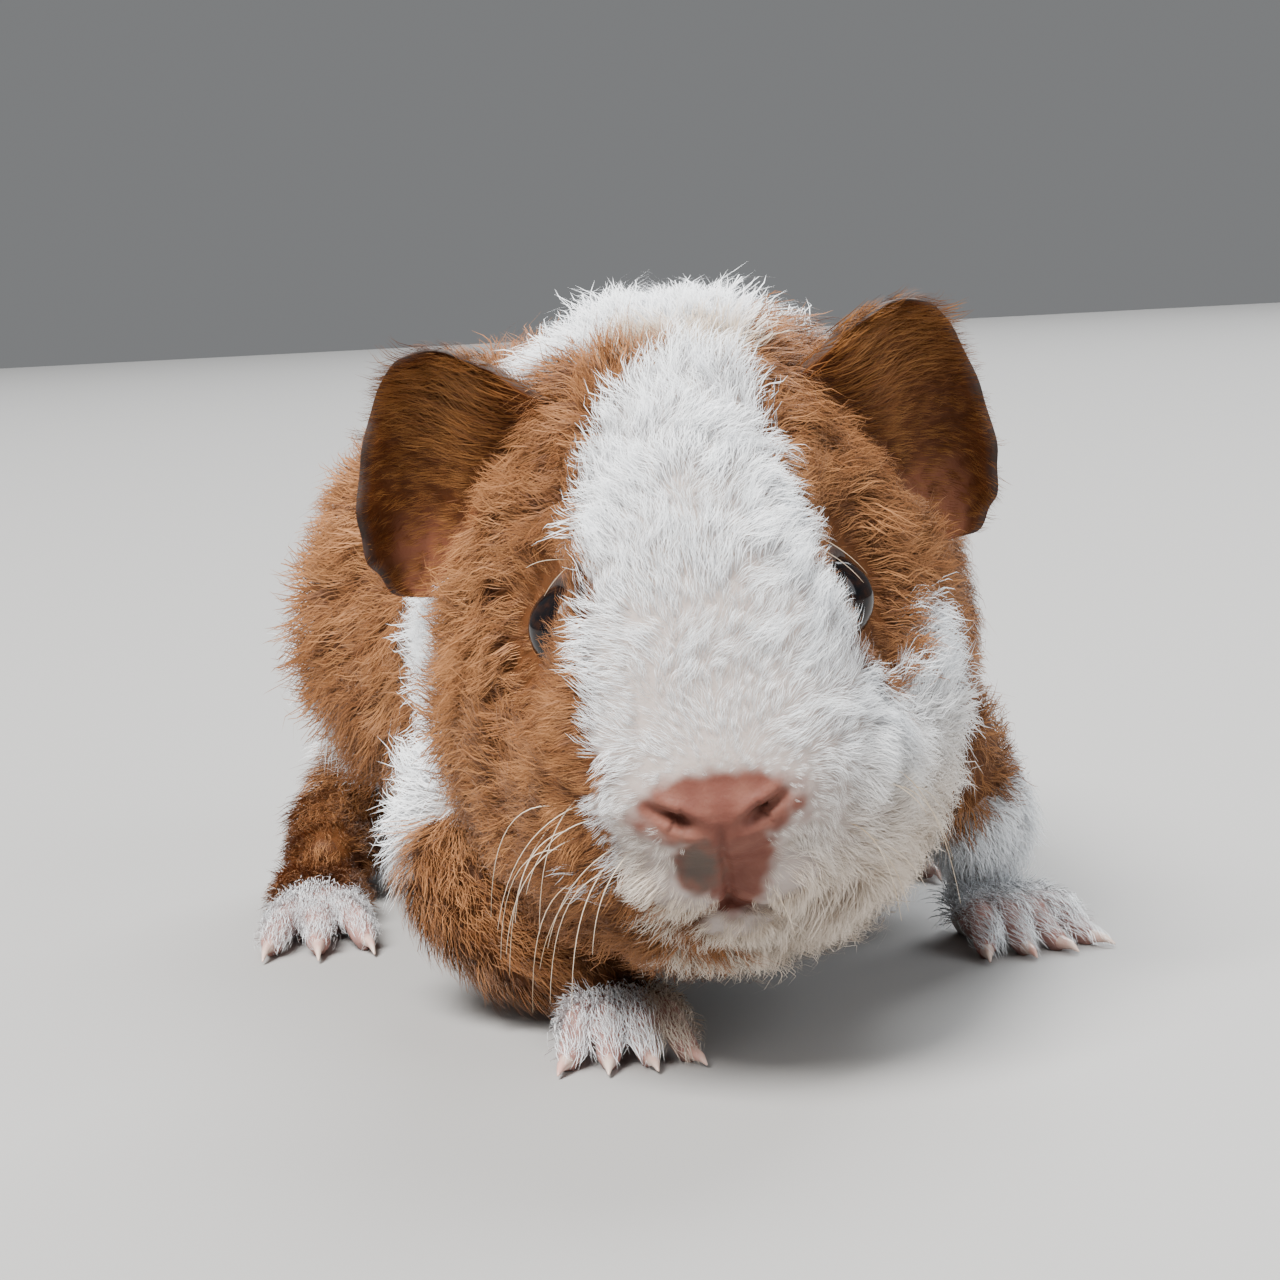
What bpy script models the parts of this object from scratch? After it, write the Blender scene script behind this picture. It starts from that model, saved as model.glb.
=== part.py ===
"""Young teddy guinea pig, life size, standing on four feet: the solids of the animal.

Lengths are in millimetres in the constants and are turned to metres where a mesh is made. The nose points
along -Y, the animal's left is +X and the floor is z = 0. "Along" is the distance back from the tip of the nose.
The body is one lofted form, parted by thin cuts. Whatever grows from it keeps a narrow gap all round its root.
"""

import math
import random
from collections import namedtuple

import bmesh
import bpy
from mathutils import Matrix, Vector

MM = 0.001
MODEL = "teddy_guinea_pig"
GAP = 0.3
BODY_LENGTH = 165.0

# The body's outline out to the tips of the coat, and the coat's depth, at places from the nose to the rump.
Station = namedtuple("Station", "along half_width top bottom shift egg coat")
STATIONS = (
    Station(0.0, 4.0, 33.0, 25.5, 0.0, 0.10, 0.0),       # tip of the nose
    Station(1.5, 8.0, 37.0, 24.4, 0.0, 0.10, 0.0),       # nose pad
    Station(5.0, 11.6, 47.0, 22.4, 0.4, 0.16, 0.3),      # upper lip
    Station(11.0, 14.9, 57.6, 16.0, 0.8, 0.30, 1.2),     # chin
    Station(22.0, 18.3, 67.0, 9.4, 1.5, 0.42, 3.0),      # eyes
    Station(34.0, 24.4, 72.4, 7.0, 1.7, 0.24, 5.4),      # front of the ears
    Station(46.0, 28.6, 75.0, 6.0, 2.0, 0.15, 7.0),      # cheeks
    Station(58.0, 30.8, 75.0, 5.6, 3.0, 0.12, 8.4),      # nape
    Station(72.0, 33.5, 71.4, 5.0, 4.4, 0.12, 9.4),      # withers
    Station(92.0, 36.5, 70.4, 4.6, 2.2, 0.17, 10.0),     # ribs
    Station(120.0, 39.5, 70.4, 4.4, -5.0, 0.18, 10.0),   # hips
    Station(138.0, 37.5, 65.6, 4.4, -6.5, 0.14, 10.0),   # haunches
    Station(153.0, 29.0, 55.0, 4.4, -4.6, 0.08, 10.0),   # rump
    Station(162.0, 16.5, 43.0, 9.0, -3.3, 0.0, 9.0),     # under the rump
    Station(165.0, 6.0, 31.0, 17.0, -3.0, 0.0, 8.0),     # hindmost point
)
ROUNDNESS = 2.15
ORBIT_DENT = 0.16
ORBIT_SIZE = 8.5
BODY_RINGS = 26
BODY_SIDES = 22

# The woolly coat as clumps that lie back and down over a core half way down the coat.
CORE_SHARE = 0.5
CORE_NARROWEST = 1.5
REAR_FROM = 125.0
CLUMPS_FROM = 15.0
CLUMPS_TO = 164.0
CLUMP_SPACING_FACE = 10.4
CLUMP_SPACING_BODY = 16.0
CLUMP_SPACING_GROWS_OVER = 40.0
CLUMP_WIDTH = 0.56
CLUMP_ROOT = 1.6
CLUMP_LEAN = 0.55
CLUMP_STAGES = ((0.0, -0.10, 0.92), (0.60, 0.30, 0.86))    # height, lean and width of its rings
CLUMP_SIDES = 5
CLUMP_PLAY = 0.20
CLUMP_LOWEST = 3.4
COAT_FALLS = math.radians(38.0)
COAT_SWAY = math.radians(24.0)
COAT_SEED = 7
EYE_CLEARING = 7.6
MUZZLE_CLEARING = 9.0

# Where thin cuts part the body, and how much further forward each is at the floor than at the back.
NECK_FRONT = 53.0
NECK_REAR = 72.0
RUMP_FRONT = 116.0
CUT_SLANT = 0.10

# The head is tilted a little to its own right, and the tilt fades out through the neck.
HEAD_TILT = math.radians(3.2)
TILT_HEIGHT = 35.0
TILT_FADES_FROM = 52.0
TILT_GONE_AT = 76.0

EYE_PLACE = Vector((11.7, 22.3, 43.4))
EYE_RADIUS = 4.5
EYE_SIDES = 14
LID_RING = 4.5
LID_THICKNESS = 1.05
LID_SIDES = 5
LID_STANDS_OUT = 2.3
EYE_TURNED_FORWARD = math.radians(20.0)
EYE_TURNED_UP = math.radians(6.0)

NOSE_PLACE = Vector((0.0, 2.7, 28.4))
NOSE_HALF = Vector((7.4, 3.4, 3.0))
NOSTRIL_SIDE = 4.4
NOSTRIL_HALF = Vector((1.5, 1.8, 0.62))
NOSTRIL_SLANT = math.radians(24.0)
NOSE_SIDES = 14
SOFT_SIDES = 12
LIP_PLACE = Vector((4.2, 8.2, 22.4))
LIP_HALF = Vector((5.0, 4.6, 4.2))
CHIN_PLACE = Vector((0.0, 11.8, 17.4))
CHIN_HALF = Vector((4.6, 3.4, 2.8))
MOUTH_MIDDLE = Vector((0.0, 8.6, 18.6))
MOUTH_CORNER = Vector((6.4, 12.6, 17.6))
MOUTH_GAP = 0.55

EAR_FRONT = Vector((15.6, 34.0, 66.8))
EAR_BACK = Vector((25.4, 49.5, 45.4))
EAR_OUTWARD = Vector((0.88, 0.20, 0.15))
EAR_TWIST = Vector((0.0, 0.18, -0.50))
EAR_WIDTH = 12.2
EAR_ROUNDNESS = 0.32
EAR_CUP = 4.4
EAR_ROOT = 6.0
EAR_THICK_ROOT = 1.7
EAR_THICK_RIM = 1.0
EAR_WAVE = 1.3
EAR_STEPS_LONG = 13
EAR_STEPS_OUT = 5
EAR_END = 0.985

# A foot: where its palm stands, which way it points, and the sizes of its palm and toes.
Foot = namedtuple("Foot", "name x along turn back width height toes toe_length toe_radius spread claw")
FEET = (
    Foot("forefoot_right", -8.2, 33.0, 3.0, 7.0, 4.5, 6.4, 4, 5.4, 2.0, 5.6, 3.0),
    Foot("forefoot_left", 36.0, 73.5, 20.0, 7.0, 4.5, 6.4, 4, 5.4, 2.0, 6.0, 3.0),
    Foot("hindfoot_right", -40.6, 99.0, 2.0, 24.0, 4.9, 6.0, 3, 8.6, 2.25, 5.2, 3.8),
    Foot("hindfoot_left", 30.6, 124.0, 12.0, 20.0, 4.9, 6.0, 3, 8.6, 2.25, 5.0, 3.8),
)
FOOT_SIDES = 8
TOE_SIDES = 5
CLAW_SIDES = 4
FLOOR_BITE = 0.7

# A leg: the points its middle runs through, each with a radius, from inside the body to the wrist or heel.
Knot = namedtuple("Knot", "x along z radius")
LEGS = {
    "foreleg_right": (Knot(-18.0, 64.0, 25.0, 9.0), Knot(-21.4, 55.0, 15.6, 8.6), Knot(-16.5, 46.5, 9.2, 6.6),
                      Knot(-10.4, 40.8, 6.4, 4.6), Knot(-8.8, 37.6, 5.2, 3.6)),
    "foreleg_left": (Knot(27.0, 68.0, 25.0, 9.2), Knot(31.0, 73.0, 18.0, 8.0), Knot(34.6, 78.4, 11.4, 6.2),
                     Knot(34.8, 79.6, 7.4, 4.8), Knot(35.0, 77.4, 5.6, 3.8)),
    "hindleg_right": (Knot(-29.0, 140.0, 21.0, 9.0), Knot(-33.5, 135.0, 13.0, 8.2), Knot(-38.0, 128.0, 8.2, 6.6),
                      Knot(-39.8, 121.0, 6.4, 5.2), Knot(-40.2, 115.0, 5.4, 4.2)),
    "hindleg_left": (Knot(14.0, 145.0, 25.0, 8.6), Knot(19.0, 147.0, 15.6, 7.8), Knot(23.0, 147.4, 8.6, 6.2),
                     Knot(26.0, 143.6, 6.4, 4.9), Knot(27.6, 139.0, 5.4, 4.0)),
}
LEG_SIDES = 8
LEG_STEPS = 2
LEG_BED_SIDES = 12
LEG_GAP = 0.4
LEG_CORE = 0.80
LEG_CLUMP_ROWS = (1.2, 2.2)                # places along a leg, counted in knots
LEG_CLUMPS_ROUND = 4
LEG_CLUMP_WIDTH = 0.72

FINISHES = {
    "coat_russet": ((0.36, 0.16, 0.06, 1.0), 0.85),
    "coat_white": ((0.86, 0.84, 0.80, 1.0), 0.85),
    "ear_skin": ((0.13, 0.10, 0.09, 1.0), 0.6),
    "eye_black": ((0.01, 0.01, 0.012, 1.0), 0.08),
    "skin_pink": ((0.78, 0.45, 0.42, 1.0), 0.55),
}


def clear_file():
    """Removes whatever the file starts with."""
    for item in list(bpy.data.objects):
        bpy.data.objects.remove(item)


def new_collection(name):
    """Returns a collection of that name, linked into the scene."""
    made = bpy.data.collections.new(name)
    bpy.context.scene.collection.children.link(made)
    return made


def finish(name):
    """Returns the material of that name, made the first time it is asked for."""
    found = bpy.data.materials.get(name)
    if found:
        return found
    color, roughness = FINISHES[name]
    made = bpy.data.materials.new(name)
    made.use_nodes = True
    shader = made.node_tree.nodes["Principled BSDF"]
    shader.inputs["Base Color"].default_value = color
    shader.inputs["Roughness"].default_value = roughness
    shader.inputs["Metallic"].default_value = 0.0
    return made


def dress(item, slot):
    """Gives an object one finish only."""
    item.data.materials.clear()
    item.data.materials.append(finish(slot))


def steady_curve(xs, ys, x):
    """Returns the height at x of a smooth curve through the points that never overshoots them."""
    steps = [b - a for a, b in zip(xs, xs[1:])]
    rises = [(b - a) / step for a, b, step in zip(ys, ys[1:], steps)]
    slopes = [rises[0]]
    for before, after in zip(rises, rises[1:]):
        slopes.append(0.0 if before * after <= 0.0 else 2.0 * before * after / (before + after))
    slopes.append(rises[-1])
    i = min(max(sum(1 for value in xs if value <= x) - 1, 0), len(steps) - 1)
    t = (x - xs[i]) / steps[i]
    start = ys[i] * (1.0 + 2.0 * t) * (1.0 - t) ** 2 + slopes[i] * steps[i] * t * (1.0 - t) ** 2
    end = ys[i + 1] * t * t * (3.0 - 2.0 * t) - slopes[i + 1] * steps[i] * t * t * (1.0 - t)
    return start + end


def outline(along):
    """Returns the body's sizes at a distance from the nose, as a Station."""
    places = [station.along for station in STATIONS]
    values = [steady_curve(places, [getattr(s, field) for s in STATIONS], along) for field in Station._fields[1:]]
    return Station(along, *values)


def ease(value):
    """Returns a smooth step from 0 to 1."""
    t = min(max(value, 0.0), 1.0)
    return t * t * (3.0 - 2.0 * t)


def pose(point):
    """Moves a point of the straight, level animal to the stance in the photo."""
    fade = 1.0 - ease((point.y - TILT_FADES_FROM) / (TILT_GONE_AT - TILT_FADES_FROM))
    tilt = HEAD_TILT * fade
    rise = point.z - TILT_HEIGHT
    side = point.x * math.cos(tilt) - rise * math.sin(tilt)
    height = TILT_HEIGHT + rise * math.cos(tilt) + point.x * math.sin(tilt)
    along = min(max(point.y, 0.0), BODY_LENGTH)
    return Vector((side + outline(along).shift, point.y, height))


def skin_point(along, turn, share=0.0):
    """Returns a point of the straight body, at a share of the coat's depth below its tips.

    Turn 0 is the animal's left and a quarter turn its back.
    """
    size = outline(along)
    inset = size.coat * share
    power = 2.0 / ROUNDNESS
    across = math.copysign(abs(math.cos(turn)) ** power, math.cos(turn))
    upward = math.copysign(abs(math.sin(turn)) ** power, math.sin(turn))
    half_height = max((size.top - size.bottom) / 2.0 - inset, CORE_NARROWEST)
    half_width = max(size.half_width - inset, CORE_NARROWEST)
    height = (size.top + size.bottom) / 2.0 + half_height * upward
    near_eye = ((along - EYE_PLACE.y) ** 2 + (height - EYE_PLACE.z) ** 2) / ORBIT_SIZE ** 2
    side = half_width * across * (1.0 - size.egg * upward) * (1.0 - ORBIT_DENT * math.exp(-near_eye))
    shorter = inset * ease((along - REAR_FROM) / (BODY_LENGTH - REAR_FROM))
    return Vector((side, along - shorter, height))


def solid(name, vertices, faces, collection):
    """Makes a mesh object from points in millimetres."""
    mesh = bpy.data.meshes.new(name)
    mesh.from_pydata([tuple(v * MM for v in point) for point in vertices], [], faces)
    made = bpy.data.objects.new(name, mesh)
    collection.objects.link(made)
    shape = bmesh.new()
    shape.from_mesh(mesh)
    bmesh.ops.recalc_face_normals(shape, faces=shape.faces)
    if shape.calc_volume(signed=True) < 0.0:
        bmesh.ops.reverse_faces(shape, faces=shape.faces)
    shape.to_mesh(mesh)
    shape.free()
    return made


def loft(name, rings, collection, ends=(None, None)):
    """Joins rings of equally many points into a closed solid with a fan, or a tip, at each end."""
    count = len(rings[0])
    vertices = [point for ring in rings for point in ring]
    faces = []
    for k in range(len(rings) - 1):
        for i in range(count):
            j = (i + 1) % count
            faces.append((k * count + i, k * count + j, (k + 1) * count + j, (k + 1) * count + i))
    for ring, start, tip in ((rings[0], 0, ends[0]), (rings[-1], (len(rings) - 1) * count, ends[1])):
        vertices.append(tip or sum(ring, Vector()) / count)
        faces += [(start + i, start + (i + 1) % count, len(vertices) - 1) for i in range(count)]
    return solid(name, vertices, faces, collection)


def ellipsoid(name, place, half, collection, turn=Matrix.Identity(3), sides=16):
    """Makes a ball squashed to three half sizes, turned, and set in the posed animal."""
    rings = []
    levels = sides // 2
    for k in range(1, levels):
        down = math.pi * k / levels
        ring = []
        for i in range(sides):
            round_angle = 2.0 * math.pi * i / sides
            unit = Vector((math.sin(down) * math.cos(round_angle), math.sin(down) * math.sin(round_angle),
                           math.cos(down)))
            ring.append(place + turn @ Vector([u * h for u, h in zip(unit, half)]))
        rings.append(ring)
    poles = [pose(place + turn @ Vector((0.0, 0.0, side * half[2]))) for side in (1.0, -1.0)]
    return loft(name, [[pose(p) for p in ring] for ring in rings], collection, ends=poles)


def bake(item):
    """Applies an object's modifiers to its mesh."""
    bpy.context.view_layer.update()
    result = item.evaluated_get(bpy.context.evaluated_depsgraph_get())
    mesh = bpy.data.meshes.new_from_object(result)
    item.modifiers.clear()
    item.data = mesh


def combine(item, operation, cutter, keep_cutter=False):
    """Cuts or joins an object with another object, or with all objects of a collection, and removes them."""
    modifier = item.modifiers.new("form", "BOOLEAN")
    modifier.operation = operation
    modifier.solver = "MANIFOLD"
    if isinstance(cutter, bpy.types.Collection):
        modifier.operand_type = "COLLECTION"
        modifier.collection = cutter
        used = list(cutter.objects)
    else:
        modifier.object = cutter
        used = [cutter]
    bake(item)
    if not keep_cutter:
        for one in used:
            bpy.data.objects.remove(one)


def keep_largest(item):
    """Keeps an object's largest closed surface."""
    shape = bmesh.new()
    shape.from_mesh(item.data)
    left = set(shape.faces)
    groups = []
    while left:
        front = [left.pop()]
        group = list(front)
        while front:
            near = {other for edge in front.pop().edges for other in edge.link_faces if other in left}
            left -= near
            front += near
            group += near
        groups.append(group)
    groups.sort(key=lambda faces: sum(face.calc_area() for face in faces))
    loose = [face for group in groups[:-1] for face in group]
    bmesh.ops.delete(shape, geom=loose, context="FACES")
    shape.to_mesh(item.data)
    shape.free()


def ring_places(count, length):
    """Returns distances from 0 to a length, closer together towards both ends."""
    return [length * (0.5 - 0.5 * math.cos(math.pi * k / (count - 1))) for k in range(count)]


def make_body(name, collection, share):
    """Makes the whole body without legs and ears, at a share of the coat's depth below its tips."""
    rings = []
    for along in ring_places(BODY_RINGS, BODY_LENGTH):
        turns = [2.0 * math.pi * i / BODY_SIDES for i in range(BODY_SIDES)]
        rings.append([pose(skin_point(along, turn, share)) for turn in turns])
    return loft(name, rings, collection)


def surface_frame(along, turn):
    """Returns the outward, backward and downward directions of the coat's surface at a place."""
    near = [skin_point(min(along + 0.5, BODY_LENGTH), turn), skin_point(along - 0.5, turn)]
    back = (near[0] - near[1]).normalized()
    down = skin_point(along, turn - 0.03) - skin_point(along, turn + 0.03)
    if math.cos(turn) < 0.0:
        down = -down
    down.normalize()
    outward = back.cross(down)
    if math.cos(turn) >= 0.0:
        outward = -outward
    return outward.normalized(), back, down


def clump(place, outward, lean, depth, width, collection, move):
    """Makes one rounded clump of wool whose tip, at the place given, leans along the lie of the coat."""
    across = outward.cross(lean).normalized()
    lean = across.cross(outward).normalized()
    root = place - outward * depth
    rings = []
    for up, drift, wide in CLUMP_STAGES:
        rise = depth * up if up > 0.0 else -CLUMP_ROOT
        middle = root + outward * rise + lean * (width * CLUMP_LEAN * drift)
        rings.append([middle + (across * math.cos(a) + lean * math.sin(a)) * (width * wide)
                      for a in (2.0 * math.pi * k / CLUMP_SIDES for k in range(CLUMP_SIDES))])
    tip = place + lean * (width * CLUMP_LEAN)
    rings = [[move(above_floor(point)) for point in ring] for ring in rings]
    return loft("clump", rings, collection, ends=(move(root - outward * CLUMP_ROOT), move(above_floor(tip))))


def above_floor(point):
    """Returns a point raised, if need be, to the lowest height that wool reaches."""
    return Vector((point.x, point.y, max(point.z, CLUMP_LOWEST)))


def is_bare(place):
    """Tells whether a place on the straight body is left free of clumps: round the eyes and on the muzzle."""
    for side in (1, -1):
        eye = mirrored(EYE_PLACE, side)
        if math.hypot(place.y - eye.y, place.z - eye.z) < EYE_CLEARING and place.x * side > 0.0:
            return True
    return (place - CHIN_PLACE).length < MUZZLE_CLEARING


def clump_spacing(along):
    """Returns how far apart clumps stand at a distance from the nose."""
    grown = ease((along - CLUMPS_FROM) / CLUMP_SPACING_GROWS_OVER)
    return CLUMP_SPACING_FACE + (CLUMP_SPACING_BODY - CLUMP_SPACING_FACE) * grown


def clump_row(along, row, draw, collection):
    """Makes the clumps of one row round the body."""
    spacing = clump_spacing(along)
    steps = [skin_point(along, 2.0 * math.pi * k / 48) for k in range(48)]
    girth = sum((a - b).length for a, b in zip(steps, steps[1:] + steps[:1]))
    count = max(3, round(girth / spacing))
    for k in range(count):
        turn = 2.0 * math.pi * (k + 0.5 * (row % 2) + CLUMP_PLAY * draw.uniform(-1.0, 1.0)) / count
        at = min(along + spacing * CLUMP_PLAY * draw.uniform(-1.0, 1.0), CLUMPS_TO)
        place = skin_point(at, turn)
        if is_bare(place):
            continue
        outward, back, down = surface_frame(at, turn)
        fall = COAT_FALLS * abs(math.cos(turn)) + COAT_SWAY * draw.uniform(-1.0, 1.0)
        lean = back * math.cos(fall) + down * math.sin(fall)
        depth = outline(at).coat * CORE_SHARE * draw.uniform(0.94, 1.08)
        width = spacing * CLUMP_WIDTH * draw.uniform(0.92, 1.12)
        clump(place, outward, lean, depth, width, collection, pose)


def add_wool(body):
    """Fuses the woolly clumps of the coat with the body's core."""
    wool = new_collection("wool")
    draw = random.Random(COAT_SEED)
    along = CLUMPS_FROM
    row = 0
    while along < CLUMPS_TO:
        clump_row(along, row, draw, wool)
        along += clump_spacing(along) * 0.92
        row += 1
    combine(body, "UNION", wool)
    bpy.data.collections.remove(wool)


def box(name, low, high, collection):
    """Makes a box between two corners, its front and back faces slanted like the cuts through the body."""
    corners = []
    for along in (low.y, high.y):
        for x, z in ((low.x, low.z), (high.x, low.z), (high.x, high.z), (low.x, high.z)):
            corners.append(Vector((x, along + CUT_SLANT * (z - TILT_HEIGHT), z)))
    return loft(name, [corners[:4], corners[4:]], collection)


def part_body(body, tools, parts):
    """Parts the body into the head, neck, torso and rump by thin cuts across it."""
    names = ("head", "neck", "torso", "rump")
    slots = ("coat_russet", "coat_white", "coat_russet", "coat_russet")
    edges = (-60.0, NECK_FRONT, NECK_REAR, RUMP_FRONT, BODY_LENGTH + 60.0)
    pieces = {}
    for name, slot, start, end in zip(names, slots, edges, edges[1:]):
        piece = bpy.data.objects.new(name, body.data.copy())
        parts.objects.link(piece)
        low = Vector((-90.0, start + GAP / 2.0, -90.0))
        high = Vector((90.0, end - GAP / 2.0, 150.0))
        combine(piece, "INTERSECT", box("slab", low, high, tools))
        dress(piece, slot)
        pieces[name] = piece
    bpy.data.objects.remove(body)
    return pieces


def mirrored(point, side):
    """Returns a point on the left for side 1, or its mirror image on the right for side -1."""
    return Vector((point.x * side, point.y, point.z))


def eye_direction(side):
    """Returns which way an eye looks."""
    level = math.cos(EYE_TURNED_UP)
    return Vector((side * math.cos(EYE_TURNED_FORWARD) * level, -math.sin(EYE_TURNED_FORWARD) * level,
                   math.sin(EYE_TURNED_UP)))


def make_lid(side, tools):
    """Makes the ring of lid round an eye, thicker above than below."""
    look = eye_direction(side)
    up = (Vector((0.0, 0.0, 1.0)) - look * look.z).normalized()
    across = look.cross(up)
    middle = mirrored(EYE_PLACE, side) + look * LID_STANDS_OUT
    rings = []
    for i in range(EYE_SIDES):
        angle = 2.0 * math.pi * i / EYE_SIDES
        out = up * math.sin(angle) + across * math.cos(angle)
        thick = LID_THICKNESS * (1.0 + 0.25 * math.sin(angle))
        place = middle + out * LID_RING
        rings.append([pose(place + out * thick * math.cos(a) + look * thick * math.sin(a))
                      for a in (2.0 * math.pi * k / LID_SIDES for k in range(LID_SIDES))])
    vertices = [point for ring in rings for point in ring]
    faces = []
    for i in range(EYE_SIDES):
        j = (i + 1) % EYE_SIDES
        for k in range(LID_SIDES):
            n = (k + 1) % LID_SIDES
            faces.append((i * LID_SIDES + k, i * LID_SIDES + n, j * LID_SIDES + n, j * LID_SIDES + k))
    return solid("lid", vertices, faces, tools)


def make_eye(side, parts, tools, head):
    """Makes an eye and opens its socket in the head."""
    name = "eye_left" if side > 0 else "eye_right"
    place = mirrored(EYE_PLACE, side)
    half = Vector((EYE_RADIUS,) * 3)
    socket = ellipsoid("socket", place, half + Vector((GAP,) * 3), tools, sides=EYE_SIDES)
    combine(head, "DIFFERENCE", socket)
    eye = ellipsoid(name, place, half, parts, sides=EYE_SIDES)
    dress(eye, "eye_black")
    return eye


def add_muzzle(head):
    """Fuses the lids, the two halves of the upper lip and the chin with the head."""
    soft = new_collection("soft_forms")
    for side in (1, -1):
        make_lid(side, soft)
        ellipsoid("lip", mirrored(LIP_PLACE, side), LIP_HALF, soft, sides=SOFT_SIDES)
    ellipsoid("chin", CHIN_PLACE, CHIN_HALF, soft, sides=SOFT_SIDES)
    combine(head, "UNION", soft)
    bpy.data.collections.remove(soft)


def cut_mouth(head, tools):
    """Cuts the line of the mouth and the groove from it up to the nose."""
    rings = []
    for k in range(-4, 5):
        t = abs(k) / 4.0
        along_curve = mirrored(MOUTH_MIDDLE.lerp(MOUTH_CORNER, t ** 1.3), 1 if k >= 0 else -1)
        x = (1 if k >= 0 else -1) * MOUTH_CORNER.x * t
        middle = Vector((x, along_curve.y, along_curve.z - 0.9 * math.sin(math.pi * t)))
        inward = Vector((0.0, 0.8, 0.6))
        thick = Vector((0.0, -0.6, 0.8)) * MOUTH_GAP * (1.0 - 0.6 * t)
        ring = [middle - inward * 6.0 + thick, middle + inward * 2.6 + thick, middle + inward * 2.6 - thick,
                middle - inward * 6.0 - thick]
        rings.append([pose(p) for p in ring])
    combine(head, "DIFFERENCE", loft("mouth", rings, tools))
    low = MOUTH_MIDDLE + Vector((0.0, -9.0, -0.6))
    groove = [[pose(Vector((x, low.y + step[0], low.z + step[1]))) for x, step in
               ((-w, (0.0, h)), (w, (0.0, h)), (0.0, (depth, h)))]
              for w, h, depth in ((1.4, 0.0, 10.3), (1.2, 3.0, 7.2), (1.0, 8.0, 4.6))]
    combine(head, "DIFFERENCE", loft("groove", groove, tools))


def make_nose(parts, tools, head):
    """Makes the bare nose with its nostrils and opens its bed in the head."""
    bed = ellipsoid("bed", NOSE_PLACE, NOSE_HALF + Vector((GAP,) * 3), tools, sides=NOSE_SIDES)
    combine(head, "DIFFERENCE", bed)
    nose = ellipsoid("nose", NOSE_PLACE, NOSE_HALF, parts, sides=NOSE_SIDES)
    for side in (1, -1):
        turn = Matrix.Rotation(-side * NOSTRIL_SLANT, 3, "Y")
        place = NOSE_PLACE + Vector((side * NOSTRIL_SIDE, -NOSE_HALF.y + 0.75, -0.1))
        combine(nose, "DIFFERENCE", ellipsoid("nostril", place, NOSTRIL_HALF, tools, turn, sides=10))
    dress(nose, "skin_pink")
    return nose


def ear_point(u, v, lift):
    """Returns a point of the left ear. U runs down its root, v out to its rim and lift through its thickness."""
    length = EAR_BACK - EAR_FRONT
    down = length.normalized()
    outward = (EAR_OUTWARD + EAR_TWIST * u).normalized()
    facing = down.cross(outward).normalized()
    round_off = max(1.0 - u * u, 0.0)
    reach = EAR_WIDTH * round_off ** EAR_ROUNDNESS * (1.0 - 0.18 * u)
    out = reach * v if v >= 0.0 else EAR_ROOT * v
    hollow = EAR_CUP * round_off ** 0.5 * math.sin(math.pi * min(max(v, 0.0) * 0.72 + 0.10, 1.0))
    wave = EAR_WAVE * math.sin(1.5 * math.pi * u) * max(v, 0.0) ** 2
    thick = EAR_THICK_ROOT + (EAR_THICK_RIM - EAR_THICK_ROOT) * max(v, 0.0)
    middle = (EAR_FRONT + EAR_BACK) / 2.0 + down * (length.length / 2.0 * u)
    return middle + outward * out - facing * (hollow - wave) + facing * lift * thick


def make_ear_shell(name, side, collection):
    """Makes one ear as a thin cupped shell whose root is sunk in the head."""
    rings = []
    for i in range(EAR_STEPS_LONG + 1):
        u = EAR_END * (2.0 * i / EAR_STEPS_LONG - 1.0)
        outs = [-1.0] + [k / (EAR_STEPS_OUT - 1) for k in range(EAR_STEPS_OUT)]
        front = [ear_point(u, v, 0.5) for v in outs]
        back = [ear_point(u, v, -0.5) for v in outs[::-1]]
        rings.append([pose(mirrored(p, side)) for p in front + back])
    return loft(name, rings, collection)


def make_ear(side, parts, tools, hosts):
    """Makes an ear and opens the narrow bed of its root in the head."""
    name = "ear_left" if side > 0 else "ear_right"
    ear = make_ear_shell(name, side, parts)
    dress(ear, "ear_skin")
    fat = make_ear_shell("ear_bed", side, tools)
    swell(fat, GAP)
    for host in hosts:
        combine(host, "DIFFERENCE", fat, keep_cutter=True)
    bpy.data.objects.remove(fat)
    return ear


def swell(item, amount):
    """Moves every point of an object outward by an amount in millimetres."""
    shape = bmesh.new()
    shape.from_mesh(item.data)
    shape.normal_update()
    moves = [(vertex, vertex.normal * vertex.calc_shell_factor() * amount * MM) for vertex in shape.verts]
    for vertex, move in moves:
        vertex.co += move
    shape.to_mesh(item.data)
    shape.free()


def tube(name, path, radii, collection, sides):
    """Makes a solid round a path, with a radius at each of its points."""
    rings = []
    for i, (point, radius) in enumerate(zip(path, radii)):
        ahead = path[min(i + 1, len(path) - 1)] - path[max(i - 1, 0)]
        ahead.normalize()
        side = ahead.cross(Vector((0.0, 0.0, 1.0)))
        if side.length < 0.05:
            side = Vector((1.0, 0.0, 0.0))
        side.normalize()
        up = side.cross(ahead)
        rings.append([point + side * radius * math.cos(a) + up * radius * math.sin(a)
                      for a in (2.0 * math.pi * k / sides for k in range(sides))])
    return loft(name, rings, collection)


def leg_at(knots, place):
    """Returns the middle and the radius of a leg at a place along it, counted in knots."""
    places = list(range(len(knots)))
    values = [steady_curve(places, [getattr(knot, field) for knot in knots], place) for field in Knot._fields]
    return Vector(values[:3]), values[3]


def leg_surface(knots, place, angle):
    """Returns a point of a leg's outline at a place along it and an angle round it."""
    middle, radius = leg_at(knots, place)
    ahead = (leg_at(knots, place + 0.1)[0] - leg_at(knots, place - 0.1)[0]).normalized()
    side = ahead.cross(Vector((0.0, 0.0, 1.0))).normalized()
    around = side * math.cos(angle) + side.cross(ahead) * math.sin(angle)
    return middle + around * radius, around


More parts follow.
